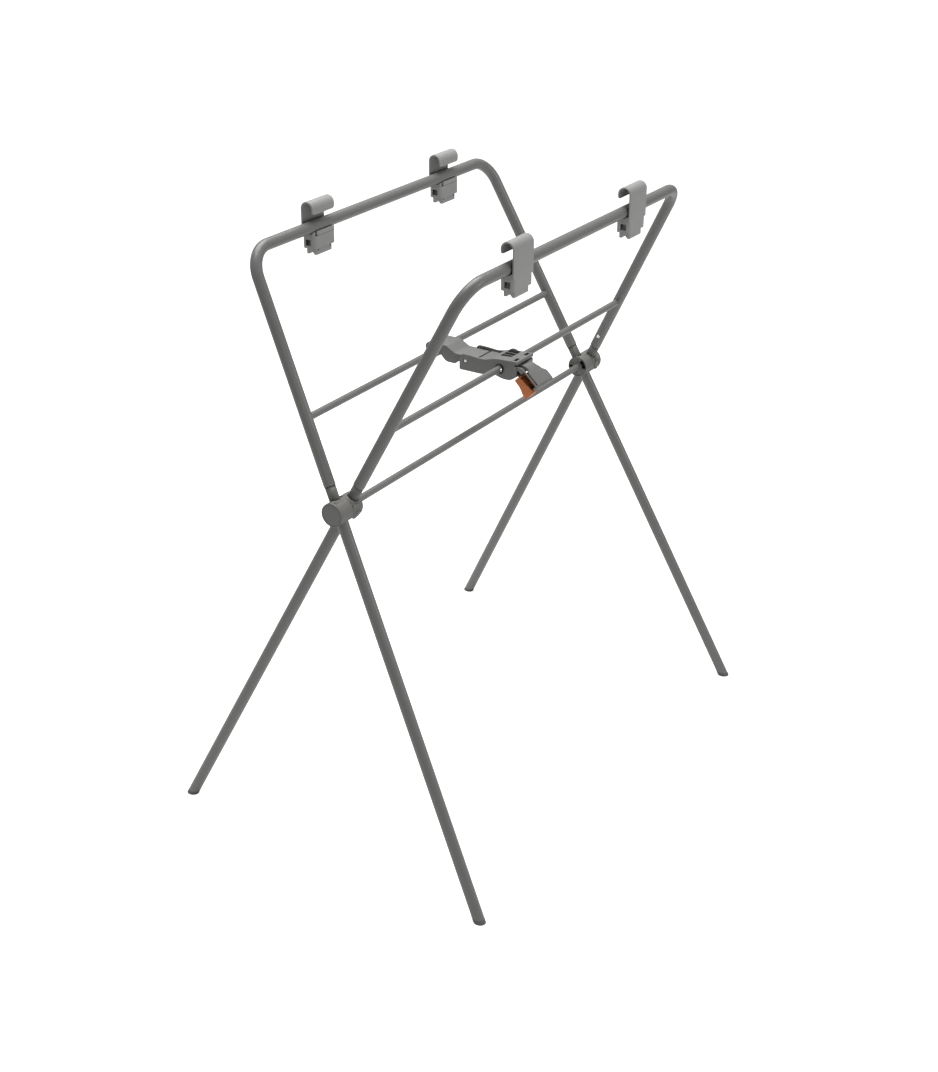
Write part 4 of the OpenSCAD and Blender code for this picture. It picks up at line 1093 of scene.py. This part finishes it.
@dataclass
class Strut:
    """The toggle strut: link, arm, grip, trigger and their steel pins."""

    places: Places
    palette: Palette
    link_w: float = 42.0 * MM
    link_collar_r: float = 9.0 * MM
    link_rise: float = 16.5 * MM
    heel_r: float = 8.0 * MM
    heel_out: float = 5.5 * MM
    pin_r: float = 3.5 * MM
    pin_gap: float = 0.1 * MM
    bar_r: float = 5.55 * MM
    arm_w: float = 50.0 * MM
    cheek_t: float = 3.0 * MM
    house_in: float = 19.0 * MM
    ring_r: float = 8.25 * MM
    ring_depth: float = 2.2 * MM
    latch_r: float = 9.3 * MM
    latch_half: float = 8.3 * MM
    grip_slope: float = math.radians(43.0)
    pivot_out: float = 22.6 * MM
    pivot_drop: float = 9.0 * MM
    ease: float = 0.9 * MM
    trigger_wall: float = 2.4

    def sloped(self, u: float, w: float) -> Point:
        """A place u millimetres down the grip's slope from the trigger's pivot and w square to it."""
        c, s = math.cos(self.grip_slope), math.sin(self.grip_slope)
        return (self.pivot_out + (u * c + w * s) * MM, -self.pivot_drop + (w * c - u * s) * MM)

    @property
    def on_slope(self) -> Matrix:
        """The place of the grip's slope, with x down the slope and z square to it."""
        pivot = Matrix.Translation((self.pivot_out, 0, -self.pivot_drop))
        return pivot @ Matrix.Rotation(self.grip_slope, 4, "Y")

    def plate(self, outline: list[Point], start: float, end: float) -> Piece:
        """Pull a side view out along y and round its edges as the mouldings' are."""
        return Bench.soften(Bench.prism(outline, start, end), self.ease, 3, 50)

    @staticmethod
    def block_mm(low: Place, high: Place) -> Piece:
        """Add a square block, its two corners given in millimetres."""
        return Bench.block(Vector(low) * MM, Vector(high) * MM)

    def slope_slab(self, plan: list[Point], low: float, high: float) -> Piece:
        """Pull a plan up on the grip's slope, between two heights in millimetres."""
        return Bench.moved(Bench.slab(plan, low * MM, high * MM), self.on_slope)

    def hang(
        self, piece: Piece, x: float, name: str, body: str, node: str, slot: str = "strut_plastic",
    ) -> None:
        """Set a piece in the strut and dress it.

        Args:
            piece: The piece, round its own axis.
            x: Where that axis is.
            name: The piece's name.
            body: The body it moves with.
            node: The solid that it stands for.
            slot: The slot of its finish.
        """
        self.palette.dress(Bench.moved(piece, self.places.on_strut(x)), name, body, slot, node)

    def link(self) -> None:
        """Model the short link that hangs on cross tube A."""
        bar, half = -self.places.bar_x, self.link_w / 2
        heel = (bar - self.heel_out, self.link_rise - self.heel_r)
        round_end = arc((bar, 0), self.link_collar_r, 0, -188.1, 30)
        round_end += arc(heel, self.heel_r, 244.7, 90, 20)
        outline = eased([(x, z, 0.0) for x, z in round_end] + in_mm([
            (-38, 16.5, 2.5), (-21, 7, 3), (18.4, 7, 1), (18.4, -2, 0.8), (0, -2, 0), (0, 3.9, 0),
            (-20.5, 3.9, 0), (-20.5, -10, 1.5), (-38, -10, 5), (-48, 0, 2)]))
        piece = self.plate(outline, -half, half)
        Bench.cut(piece, Bench.across(self.pin_r + self.pin_gap, 2 * half))
        Bench.cut(piece, Bench.across(self.bar_r, 2 * half, bar))
        Bench.cut(piece, self.block_mm((-9, 18, -20), (30, 30, 20)))
        self.hang(piece, 0, "toggle_link", "link", "strut_link")

    def arm_side(self) -> list[Point]:
        """List the arm's side view round cross tube B."""
        bar = self.places.bar_x / MM
        return eased(in_mm([
            (-bar - 10.8, -16, 3), (-bar - 10.8, 3.6, 3), (-bar - 5.4, 10.8, 3), (10.8 - bar, 10.8, 8),
            (33 - bar, 8.8, 8), (-8.3, 15, 8), (31.6, 17, 2.5), (29.4, -9, 3), (18.2, -16, 4), (4.5, -16, 4),
            (-9, -12, 5), (33 - bar, -16, 8)]))

    def arm(self) -> None:
        """Model the long arm: two cheeks, a lid between them and the housing over cross tube B."""
        half, inner = self.arm_w / 2, self.arm_w / 2 - self.cheek_t
        bar = self.places.bar_x
        piece = self.plate(self.arm_side(), -half, half)
        hump = Bench.rod(13 * MM, (-3 * MM, inner, 4.6 * MM), self.cheek_t, Axis.Y)
        Bench.join(piece, Bench.soften(hump, 0.8 * MM, 3, 50))
        space = Bench.block((-0.1, -inner, -0.03), (-self.house_in, inner, 0.03))
        wall = Bench.block((33 * MM - bar, -half, -12 * MM), (0, half, 5.8 * MM))
        lid = Bench.block((22.4 * MM - bar, -half, 4.8 * MM), (0, half - 7 * MM, 7.8 * MM))
        Bench.cut(piece, Bench.cut(space, wall, Bench.soften(lid, 0.6 * MM, 2)))
        ring = 10 * MM
        for radius, start, length in (
            (self.ring_r, half - self.ring_depth, ring),
            (self.ring_r, -half - ring + self.ring_depth, ring),
            (self.bar_r, -2 * half, 4 * half),
            (self.latch_r, -self.latch_half, 2 * self.latch_half),
        ):
            Bench.cut(piece, Bench.rod(radius, (0, start, 0), length, Axis.Y))
        Bench.cut(piece, Bench.across(self.pin_r + 0.05 * MM, 2 * half, -bar))
        Bench.cut(piece, self.block_mm((3.7, -7.3, -32), (60, 7.3, -4.7)))
        self.top_openings(piece)
        Bench.cut(piece, self.block_mm((26.4, -30, 8.8), (40, 30, 11.4)))
        Bench.cut(piece, self.block_mm((15, -23, -7), (40, -9, 8.4)))
        self.hang(piece, bar, "toggle_arm", "arm", "strut_arm")

    def top_openings(self, piece: Piece) -> None:
        """Cut the two slots and the ribbed pocket in the housing's top.

        Args:
            piece: The arm, round cross tube B.
        """
        for middle in (-15, 15):
            slot = self.block_mm((21.6, middle - 6, 12), (27.6, middle + 6, 30))
            Bench.cut(piece, Bench.soften(slot, 0.5 * MM, 2))
        plan = in_mm([(-10, -8, 2), (11, -8, 2), (11, 21.95, 5), (-10, 21.95, 2)])
        pocket = Bench.slab(eased(plan), 10 * MM, 30 * MM)
        for middle in (2, 12):
            Bench.cut(pocket, self.block_mm((-20, middle - 0.8, 0), (20, middle + 0.8, 14.4)))
        Bench.cut(piece, pocket)

    def grip(self) -> None:
        """Model the sloped grip plate with its waisted far edge and the slot along its near edge."""
        top, under = 25, 16.5
        side = [(31.7 * MM, 8.5 * MM, 0), (*self.sloped(1.2, top), 7 * MM), (*self.sloped(40, top), 5 * MM),
                (*self.sloped(40, under), MM), (*self.sloped(0, under), 0), (31.7 * MM, 3.1 * MM, 0)]
        piece = Bench.prism(eased(side), -25 * MM, 25 * MM)
        Bench.keep(piece, self.slope_slab(eased(in_mm([
            (-20, -25, 0), (40.2, -25, 4.5), (40.2, 25, 5), (21, 25, 3.5), (16, 17.5, 2.5), (11, 15.5, 2),
            (5, 11, 3), (-20, 11, 0)])), -60, 60))
        Bench.soften(piece, self.ease, 3, 50)
        hollow = eased(in_mm([
            (3, -22, 0), (37, -22, 3), (37, 22, 3), (22, 22, 3), (16, 14.5, 2), (11, 12.5, 2), (3, 8, 0)]))
        slot = eased(in_mm([
            (7, -23, 1), (35.75, -23, 1), (35.75, -18.5, 1), (13.4, -18.5, 2), (7, -14, 1)]))
        flank = in_mm([(7, -30), (35.75, -30), (35.75, -18.5), (7, -18.5)])
        mouth = in_mm([(-20, -22.4), (11, -22.4), (8, -13), (-20, -13)])
        gap = in_mm([(8, -22.8), (36, -22.8), (36, -13.5), (8, -13.5)])
        for plan, low, high in (
            (hollow, 10, 21), (slot, 17, 40), (flank, 12, 23), (mouth, 10, 40), (gap, 15, 23.3),
        ):
            Bench.cut(piece, self.slope_slab(plan, low, high))
        self.hang(piece, self.places.bar_x, "grip_plate", "arm", "grip")

    def trigger(self) -> None:
        """Model the orange trigger: a hollow paddle on a short lever."""
        near, far, wall = -21.45 * MM, 7.05 * MM, self.trigger_wall
        paddle = eased([(*self.sloped(6.5, 6.5), MM), (*self.sloped(40.5, 10.5), MM),
                        (*self.sloped(40.5, -8.5), 3.5 * MM), (*self.sloped(31, -8.3), 4 * MM),
                        (*self.sloped(20, -3.8), 5 * MM), (*self.sloped(6.5, -3.5), 2 * MM)])
        piece = self.plate(paddle, near, far)
        inside = Bench.prism(
            [self.sloped(8.9, 20), self.sloped(38.1, 20), self.sloped(38.1, -5.6), self.sloped(31, -5.6),
             self.sloped(20, -1.2), self.sloped(8.9, -1.0)], near + wall * MM, far - wall * MM)
        corner = [(50, -18.1), (50, 30), (37.1, 30), (37.1, -5.2), (41.5, -9.6)]
        inner_corner = [(u - wall, y - wall) for u, y in corner]
        Bench.cut(inside, self.slope_slab(in_mm(inner_corner), -40, 40))
        Bench.cut(piece, inside, self.slope_slab(in_mm(corner), -40, 40))
        root, top, under = 4.1 * MM, -9.45 * MM, -13.85 * MM
        lever = Bench.prism(
            [(root, top), (self.pivot_out, top), self.sloped(0, 3.4), self.sloped(7.7, 3.4),
             self.sloped(7.7, -3.4), self.sloped(0, -3.4), (self.pivot_out, under), (root, under)],
            -7 * MM, 7 * MM)
        boss_start = Vector((self.pivot_out, -7 * MM, -self.pivot_drop))
        Bench.join(piece, lever, Bench.rod(4 * MM, boss_start, 14 * MM, Axis.Y))
        bore_start = boss_start - Vector((0, 10 * MM, 0))
        Bench.cut(piece, Bench.rod(2.05 * MM, bore_start, 40 * MM, Axis.Y))
        self.hang(piece, self.places.bar_x, "orange_trigger", "trigger", "trigger", "trigger_plastic")

    def pin(self) -> None:
        """Model the toggle pin, with its ends rounded over in the arm's cheeks."""
        piece = Bench.across(self.pin_r, self.arm_w / 2)
        Bench.round_corners(piece, lambda a, b: a.y * b.y > 0, 2.3 * MM, 6)
        self.hang(piece, 0, "toggle_pin_steel", "arm", "toggle_pin", "bright_steel")

    def build(self) -> None:
        """Model the whole strut."""
        for model in (self.link, self.arm, self.grip, self.trigger, self.pin):
            model()


# ---------------------------------------------------------------- frames


@dataclass
class FrameTubes:
    """The bent rails, legs, feet, cross tubes, axle, stubs and small steel parts."""

    places: Places
    palette: Palette
    rivet_up: float = 64.0 * MM
    rivet_r: float = 3.0 * MM
    rivet_h: float = 1.4 * MM
    tube_r: float = 9.0 * MM
    bore_r: float = 7.8 * MM
    half_rail: float = 318.5 * MM
    rail_up: float = 391.0 * MM
    bend_r: float = 45.0 * MM
    tube_start: float = 39.0 * MM
    cross_up: float = 141.0 * MM
    cross_half: float = 340.0 * MM
    cross_r: float = 5.5 * MM
    cross_wall: float = 1.0 * MM
    leg_start: float = 9.0 * MM
    foot_band: float = 7.0 * MM
    shank: float = 3.0 * MM
    small_ease: float = 0.3 * MM
    foot_ease: float = 0.5 * MM

    def lacquer(self, piece: Piece, name: str, body: str, node: str) -> None:
        """Dress a finished tube."""
        self.palette.dress(piece, name, body, "tube_lacquer", node, 40.0)

    def copy(
        self, node: str, name: str, body: str, slot: str, ease: float = 0.0, angle: float = 40.0,
    ) -> None:
        """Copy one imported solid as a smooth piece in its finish.

        Args:
            node: The solid's node.
            name: The new piece's name.
            body: The body it rides on.
            slot: The slot of its finish.
            ease: How far its edges are eased.
            angle: The least turn between two faces that stays sharp, in degrees.
        """
        self.palette.dress(Bench.copy_solid(node, ease), name, body, slot, node, angle)

    def rail(self, side: Side) -> None:
        """Draw a ring along half the bent rail tube, mirror it and give it its wall."""
        splay = self.places.splay
        turn = math.pi / 2 - splay
        tangent = self.bend_r * math.tan(turn / 2)
        straight = self.half_rail - tangent
        leg = (self.rail_up / math.cos(splay)) - tangent - self.tube_start
        Bench.clear()
        bpy.ops.mesh.primitive_circle_add(
            vertices=48, radius=self.tube_r, location=(0, 0, self.rail_up),
            rotation=(math.pi / 2, 0, 0))
        piece = Bench.settle(bpy.context.object)
        down = (0, leg * math.sin(splay), -leg * math.cos(splay))
        with Bench.editing(piece):
            bpy.ops.mesh.extrude_region_move(TRANSFORM_OT_translate={"value": (0, straight, 0)})
            bpy.ops.mesh.spin(
                steps=24, angle=turn, center=(0, straight, self.rail_up - self.bend_r), axis=(1, 0, 0))
            bpy.ops.mesh.extrude_region_move(TRANSFORM_OT_translate={"value": down})
        Bench.tighten(Bench.modify(piece, "MIRROR", use_axis=(False, True, False)))
        Bench.modify(piece, "SOLIDIFY", thickness=self.tube_r - self.bore_r, offset=-1.0)
        Bench.moved(piece, self.places.in_frame(side))
        self.lacquer(piece, f"bent_rail_{side.key}", side.body, f"rail_tube_{side.key}")

    def cross_bar(self, side: Side) -> None:
        """Model the thin tube across a frame, with its ends in the uprights."""
        piece = Bench.pipe(self.cross_r, self.cross_r - self.cross_wall,
                           Vector((0, -self.cross_half, self.cross_up)), 2 * self.cross_half)
        Bench.moved(piece, self.places.in_frame(side))
        self.lacquer(piece, f"cross_bar_{side.key}", side.body, f"cross_tube_{side.key}")

    def axle(self) -> None:
        """Model the axle tube between the two hubs."""
        low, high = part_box("axle_tube")
        radius = (high.x - low.x) / 2
        start = Vector(((low.x + high.x) / 2, low.y, (low.z + high.z) / 2))
        piece = Bench.pipe(radius, radius - self.cross_wall, start, high.y - low.y)
        self.lacquer(piece, "axle_bar", "frame_a", "axle_tube")

    def leg(self, side: Side, end: str) -> None:
        """Model one leg tube from its hub down to the top of its foot.

        Args:
            side: The frame it belongs to.
            end: Which hub it hangs from.
        """
        way = 1 if (end == "near") == (side is Side.A) else -1
        place = self.places.at_hub(side, way) @ Matrix.Rotation(way * self.places.splay, 4, "X")
        length = self.places.hub_z * 1.3
        outer, inner = (
            Bench.moved(Bench.rod(radius, (0, 0, top - length), length, Axis.Z, 48), place)
            for radius, top in ((self.tube_r, -self.leg_start), (self.bore_r, 0.0)))
        Bench.slice(outer, Vector((0, 0, self.foot_band)), Vector((0, 0, -1)))
        Bench.cut(outer, inner)
        self.lacquer(outer, f"leg_{side.key}_{end}", side.body, f"leg_tube_{side.key}_{end}")

    def rivet(self, side: Side) -> None:
        """Model the domed head of the rivet in a frame's upright, over its shank."""
        rim, shank = self.tube_r, self.shank
        start = (rim - shank, 0, self.rivet_up)
        piece = Bench.rod(self.rivet_r, start, shank + self.rivet_h, Axis.X, 48)
        Bench.round_corners(piece, lambda a, b: a.x > rim and b.x > rim, 1.3 * MM, 6)
        inward = Matrix.Rotation(-math.pi / 2, 4, "Z")
        Bench.moved(piece, Matrix.Rotation(self.places.splay, 4, "X") @ inward)
        Bench.moved(piece, self.places.at_hub(side, 1))
        self.palette.dress(
            piece, f"upright_rivet_{side.key}", side.body, "bright_steel", f"frame_rivet_{side.key}")

    def build(self) -> None:
        """Dress both frames, the axle and the small parts on them."""
        for side in Side:
            key, body = side.key, side.body
            self.rail(side)
            self.cross_bar(side)
            self.copy(f"hub_stubs_{key}", f"tube_stubs_{key}", body, "stub_plastic")
            self.copy(
                f"saddle_screws_{key}", f"rail_screws_{key}", body, "bright_steel", self.small_ease)
            self.rivet(side)
            for end in ("near", "far"):
                self.leg(side, end)
                self.copy(
                    f"foot_plug_{key}_{end}", f"foot_{key}_{end}", body, "foot_plastic", self.foot_ease)
        self.axle()
        for node, name, body, ease, angle in (
            ("pivot_bolts", "hub_bolts", "frame_a", self.small_ease, 40.0),
            ("latch_collar", "notched_collar", "frame_b", self.small_ease, 40.0),
            ("stop_rivet", "bar_rivet", "frame_b", 0.0, 60.0),
            ("trigger_pin", "trigger_pivot_pin", "arm", self.small_ease, 40.0),
            ("trigger_spring", "return_spring", "arm", 0.0, 80.0),
        ):
            self.copy(node, name, body, "bright_steel", ease, angle)


# ---------------------------------------------------------------- stage


WHITE = (1, 1, 1, 1)
# Each lamp's name, its place, the length of its side and its power in watts.
LAMPS = (
    ("key_lamp", (-0.7, 0.5, 3.4), 2.4, 104.0),
    ("fill_lamp", (2.6, -2.6, 1.9), 1.0, 6.0),
    ("rim_lamp", (2.8, 1.0, 1.6), 1.2, 16.0),
)


@dataclass
class Studio:
    """The floor, the light and the camera."""

    eye: tuple[float, float, float] = (1.349813, -2.149454, 1.633279)
    right: tuple[float, float, float] = (0.83775, 0.54606, 0.0)
    up: tuple[float, float, float] = (-0.24155, 0.37058, 0.89684)
    lens: float = 57.21
    shift_x: float = 0.01875
    shift_y: float = -0.0008
    room_light: float = 0.37

    @staticmethod
    def place(name: str, data: bpy.types.ID, matrix: Matrix) -> Piece:
        """Put a camera or a lamp in its place."""
        piece = bpy.data.objects.new(name, data)
        bpy.context.scene.collection.objects.link(piece)
        piece.matrix_world = matrix
        return piece

    def camera(self) -> None:
        """Set up the camera where the photograph was taken from."""
        right, up = Vector(self.right).normalized(), Vector(self.up).normalized()
        back = right.cross(up)
        turn = Matrix((right, up, back)).transposed().to_4x4()
        data = bpy.data.cameras.new("photo_camera")
        data.sensor_width, data.lens = 36.0, self.lens
        data.shift_x, data.shift_y = self.shift_x, self.shift_y
        data.clip_start, data.clip_end = 0.05, 100.0
        place = Matrix.Translation(self.eye) @ turn
        bpy.context.scene.camera = self.place("photo_camera", data, place)

    def floor(self) -> None:
        """Lay the pale floor, which keeps the stand's shadow."""
        Bench.clear()
        bpy.ops.mesh.primitive_plane_add(size=80, location=(0, 0, 0))
        floor = bpy.context.object
        floor.name = "studio_floor"
        material = bpy.data.materials.new("pale_floor")
        sheet, seen = self.blank(material)
        matt = sheet.add("BsdfDiffuse", {"Color": (0.86, 0.86, 0.86, 1)})
        glow = sheet.add("Emission", {"Color": WHITE, "Strength": sheet.maths("MULTIPLY", seen, 0.72)})
        both = sheet.add("AddShader", {0: matt.outputs[0], 1: glow.outputs[0]})
        sheet.add("OutputMaterial", {"Surface": both.outputs[0]})
        floor.data.materials.append(material)

    def world(self) -> None:
        """Light the room evenly, and show white where nothing else is seen."""
        world = bpy.data.worlds.new("studio_world")
        bpy.context.scene.world = world
        sheet, seen = self.blank(world)
        soft, white = (
            sheet.add("Background", {"Color": WHITE, "Strength": strength}).outputs[0]
            for strength in (self.room_light, 1.0))
        mix = sheet.add("MixShader", {0: seen, 1: soft, 2: white})
        sheet.add("OutputWorld", {"Surface": mix.outputs[0]})

    @staticmethod
    def blank(owner: bpy.types.ID) -> tuple[NodeSheet, Socket]:
        """Start an empty shader, with the output that tells whether the camera itself sees a point."""
        owner.use_nodes = True
        owner.node_tree.nodes.clear()
        sheet = NodeSheet(owner.node_tree)
        return sheet, sheet.add("LightPath").outputs["Is Camera Ray"]

    def lamp(self, name: str, place: Vector, size: float, power: float) -> None:
        """Hang a soft square lamp that faces the stand.

        Args:
            name: The lamp's name.
            place: Where it hangs.
            size: The length of its side.
            power: Its power in watts.
        """
        data = bpy.data.lights.new(name, "AREA")
        data.shape, data.size, data.energy = "SQUARE", size, power
        turn = (Vector((0, 0, 0.5)) - place).to_track_quat("-Z", "Y").to_matrix().to_4x4()
        self.place(name, data, Matrix.Translation(place) @ turn)

    def build(self) -> None:
        """Set up the whole studio."""
        self.camera()
        self.floor()
        self.world()
        for name, place, size, power in LAMPS:
            self.lamp(name, Vector(place), size, power)
        bpy.context.scene.view_settings.view_transform = "Standard"


def main() -> None:
    """Build the studio and every sub-assembly in order."""
    logging.basicConfig(level=logging.INFO, format="%(name)s: %(message)s")
    Studio().build()
    palette = Palette()
    palette.dress_solids()
    places = Places.read(FrameTubes.tube_r)
    for assembly in (FrameTubes, Hub, TubHook, Strut):
        assembly(places, palette).build()


if __name__ == "__main__":
    main()
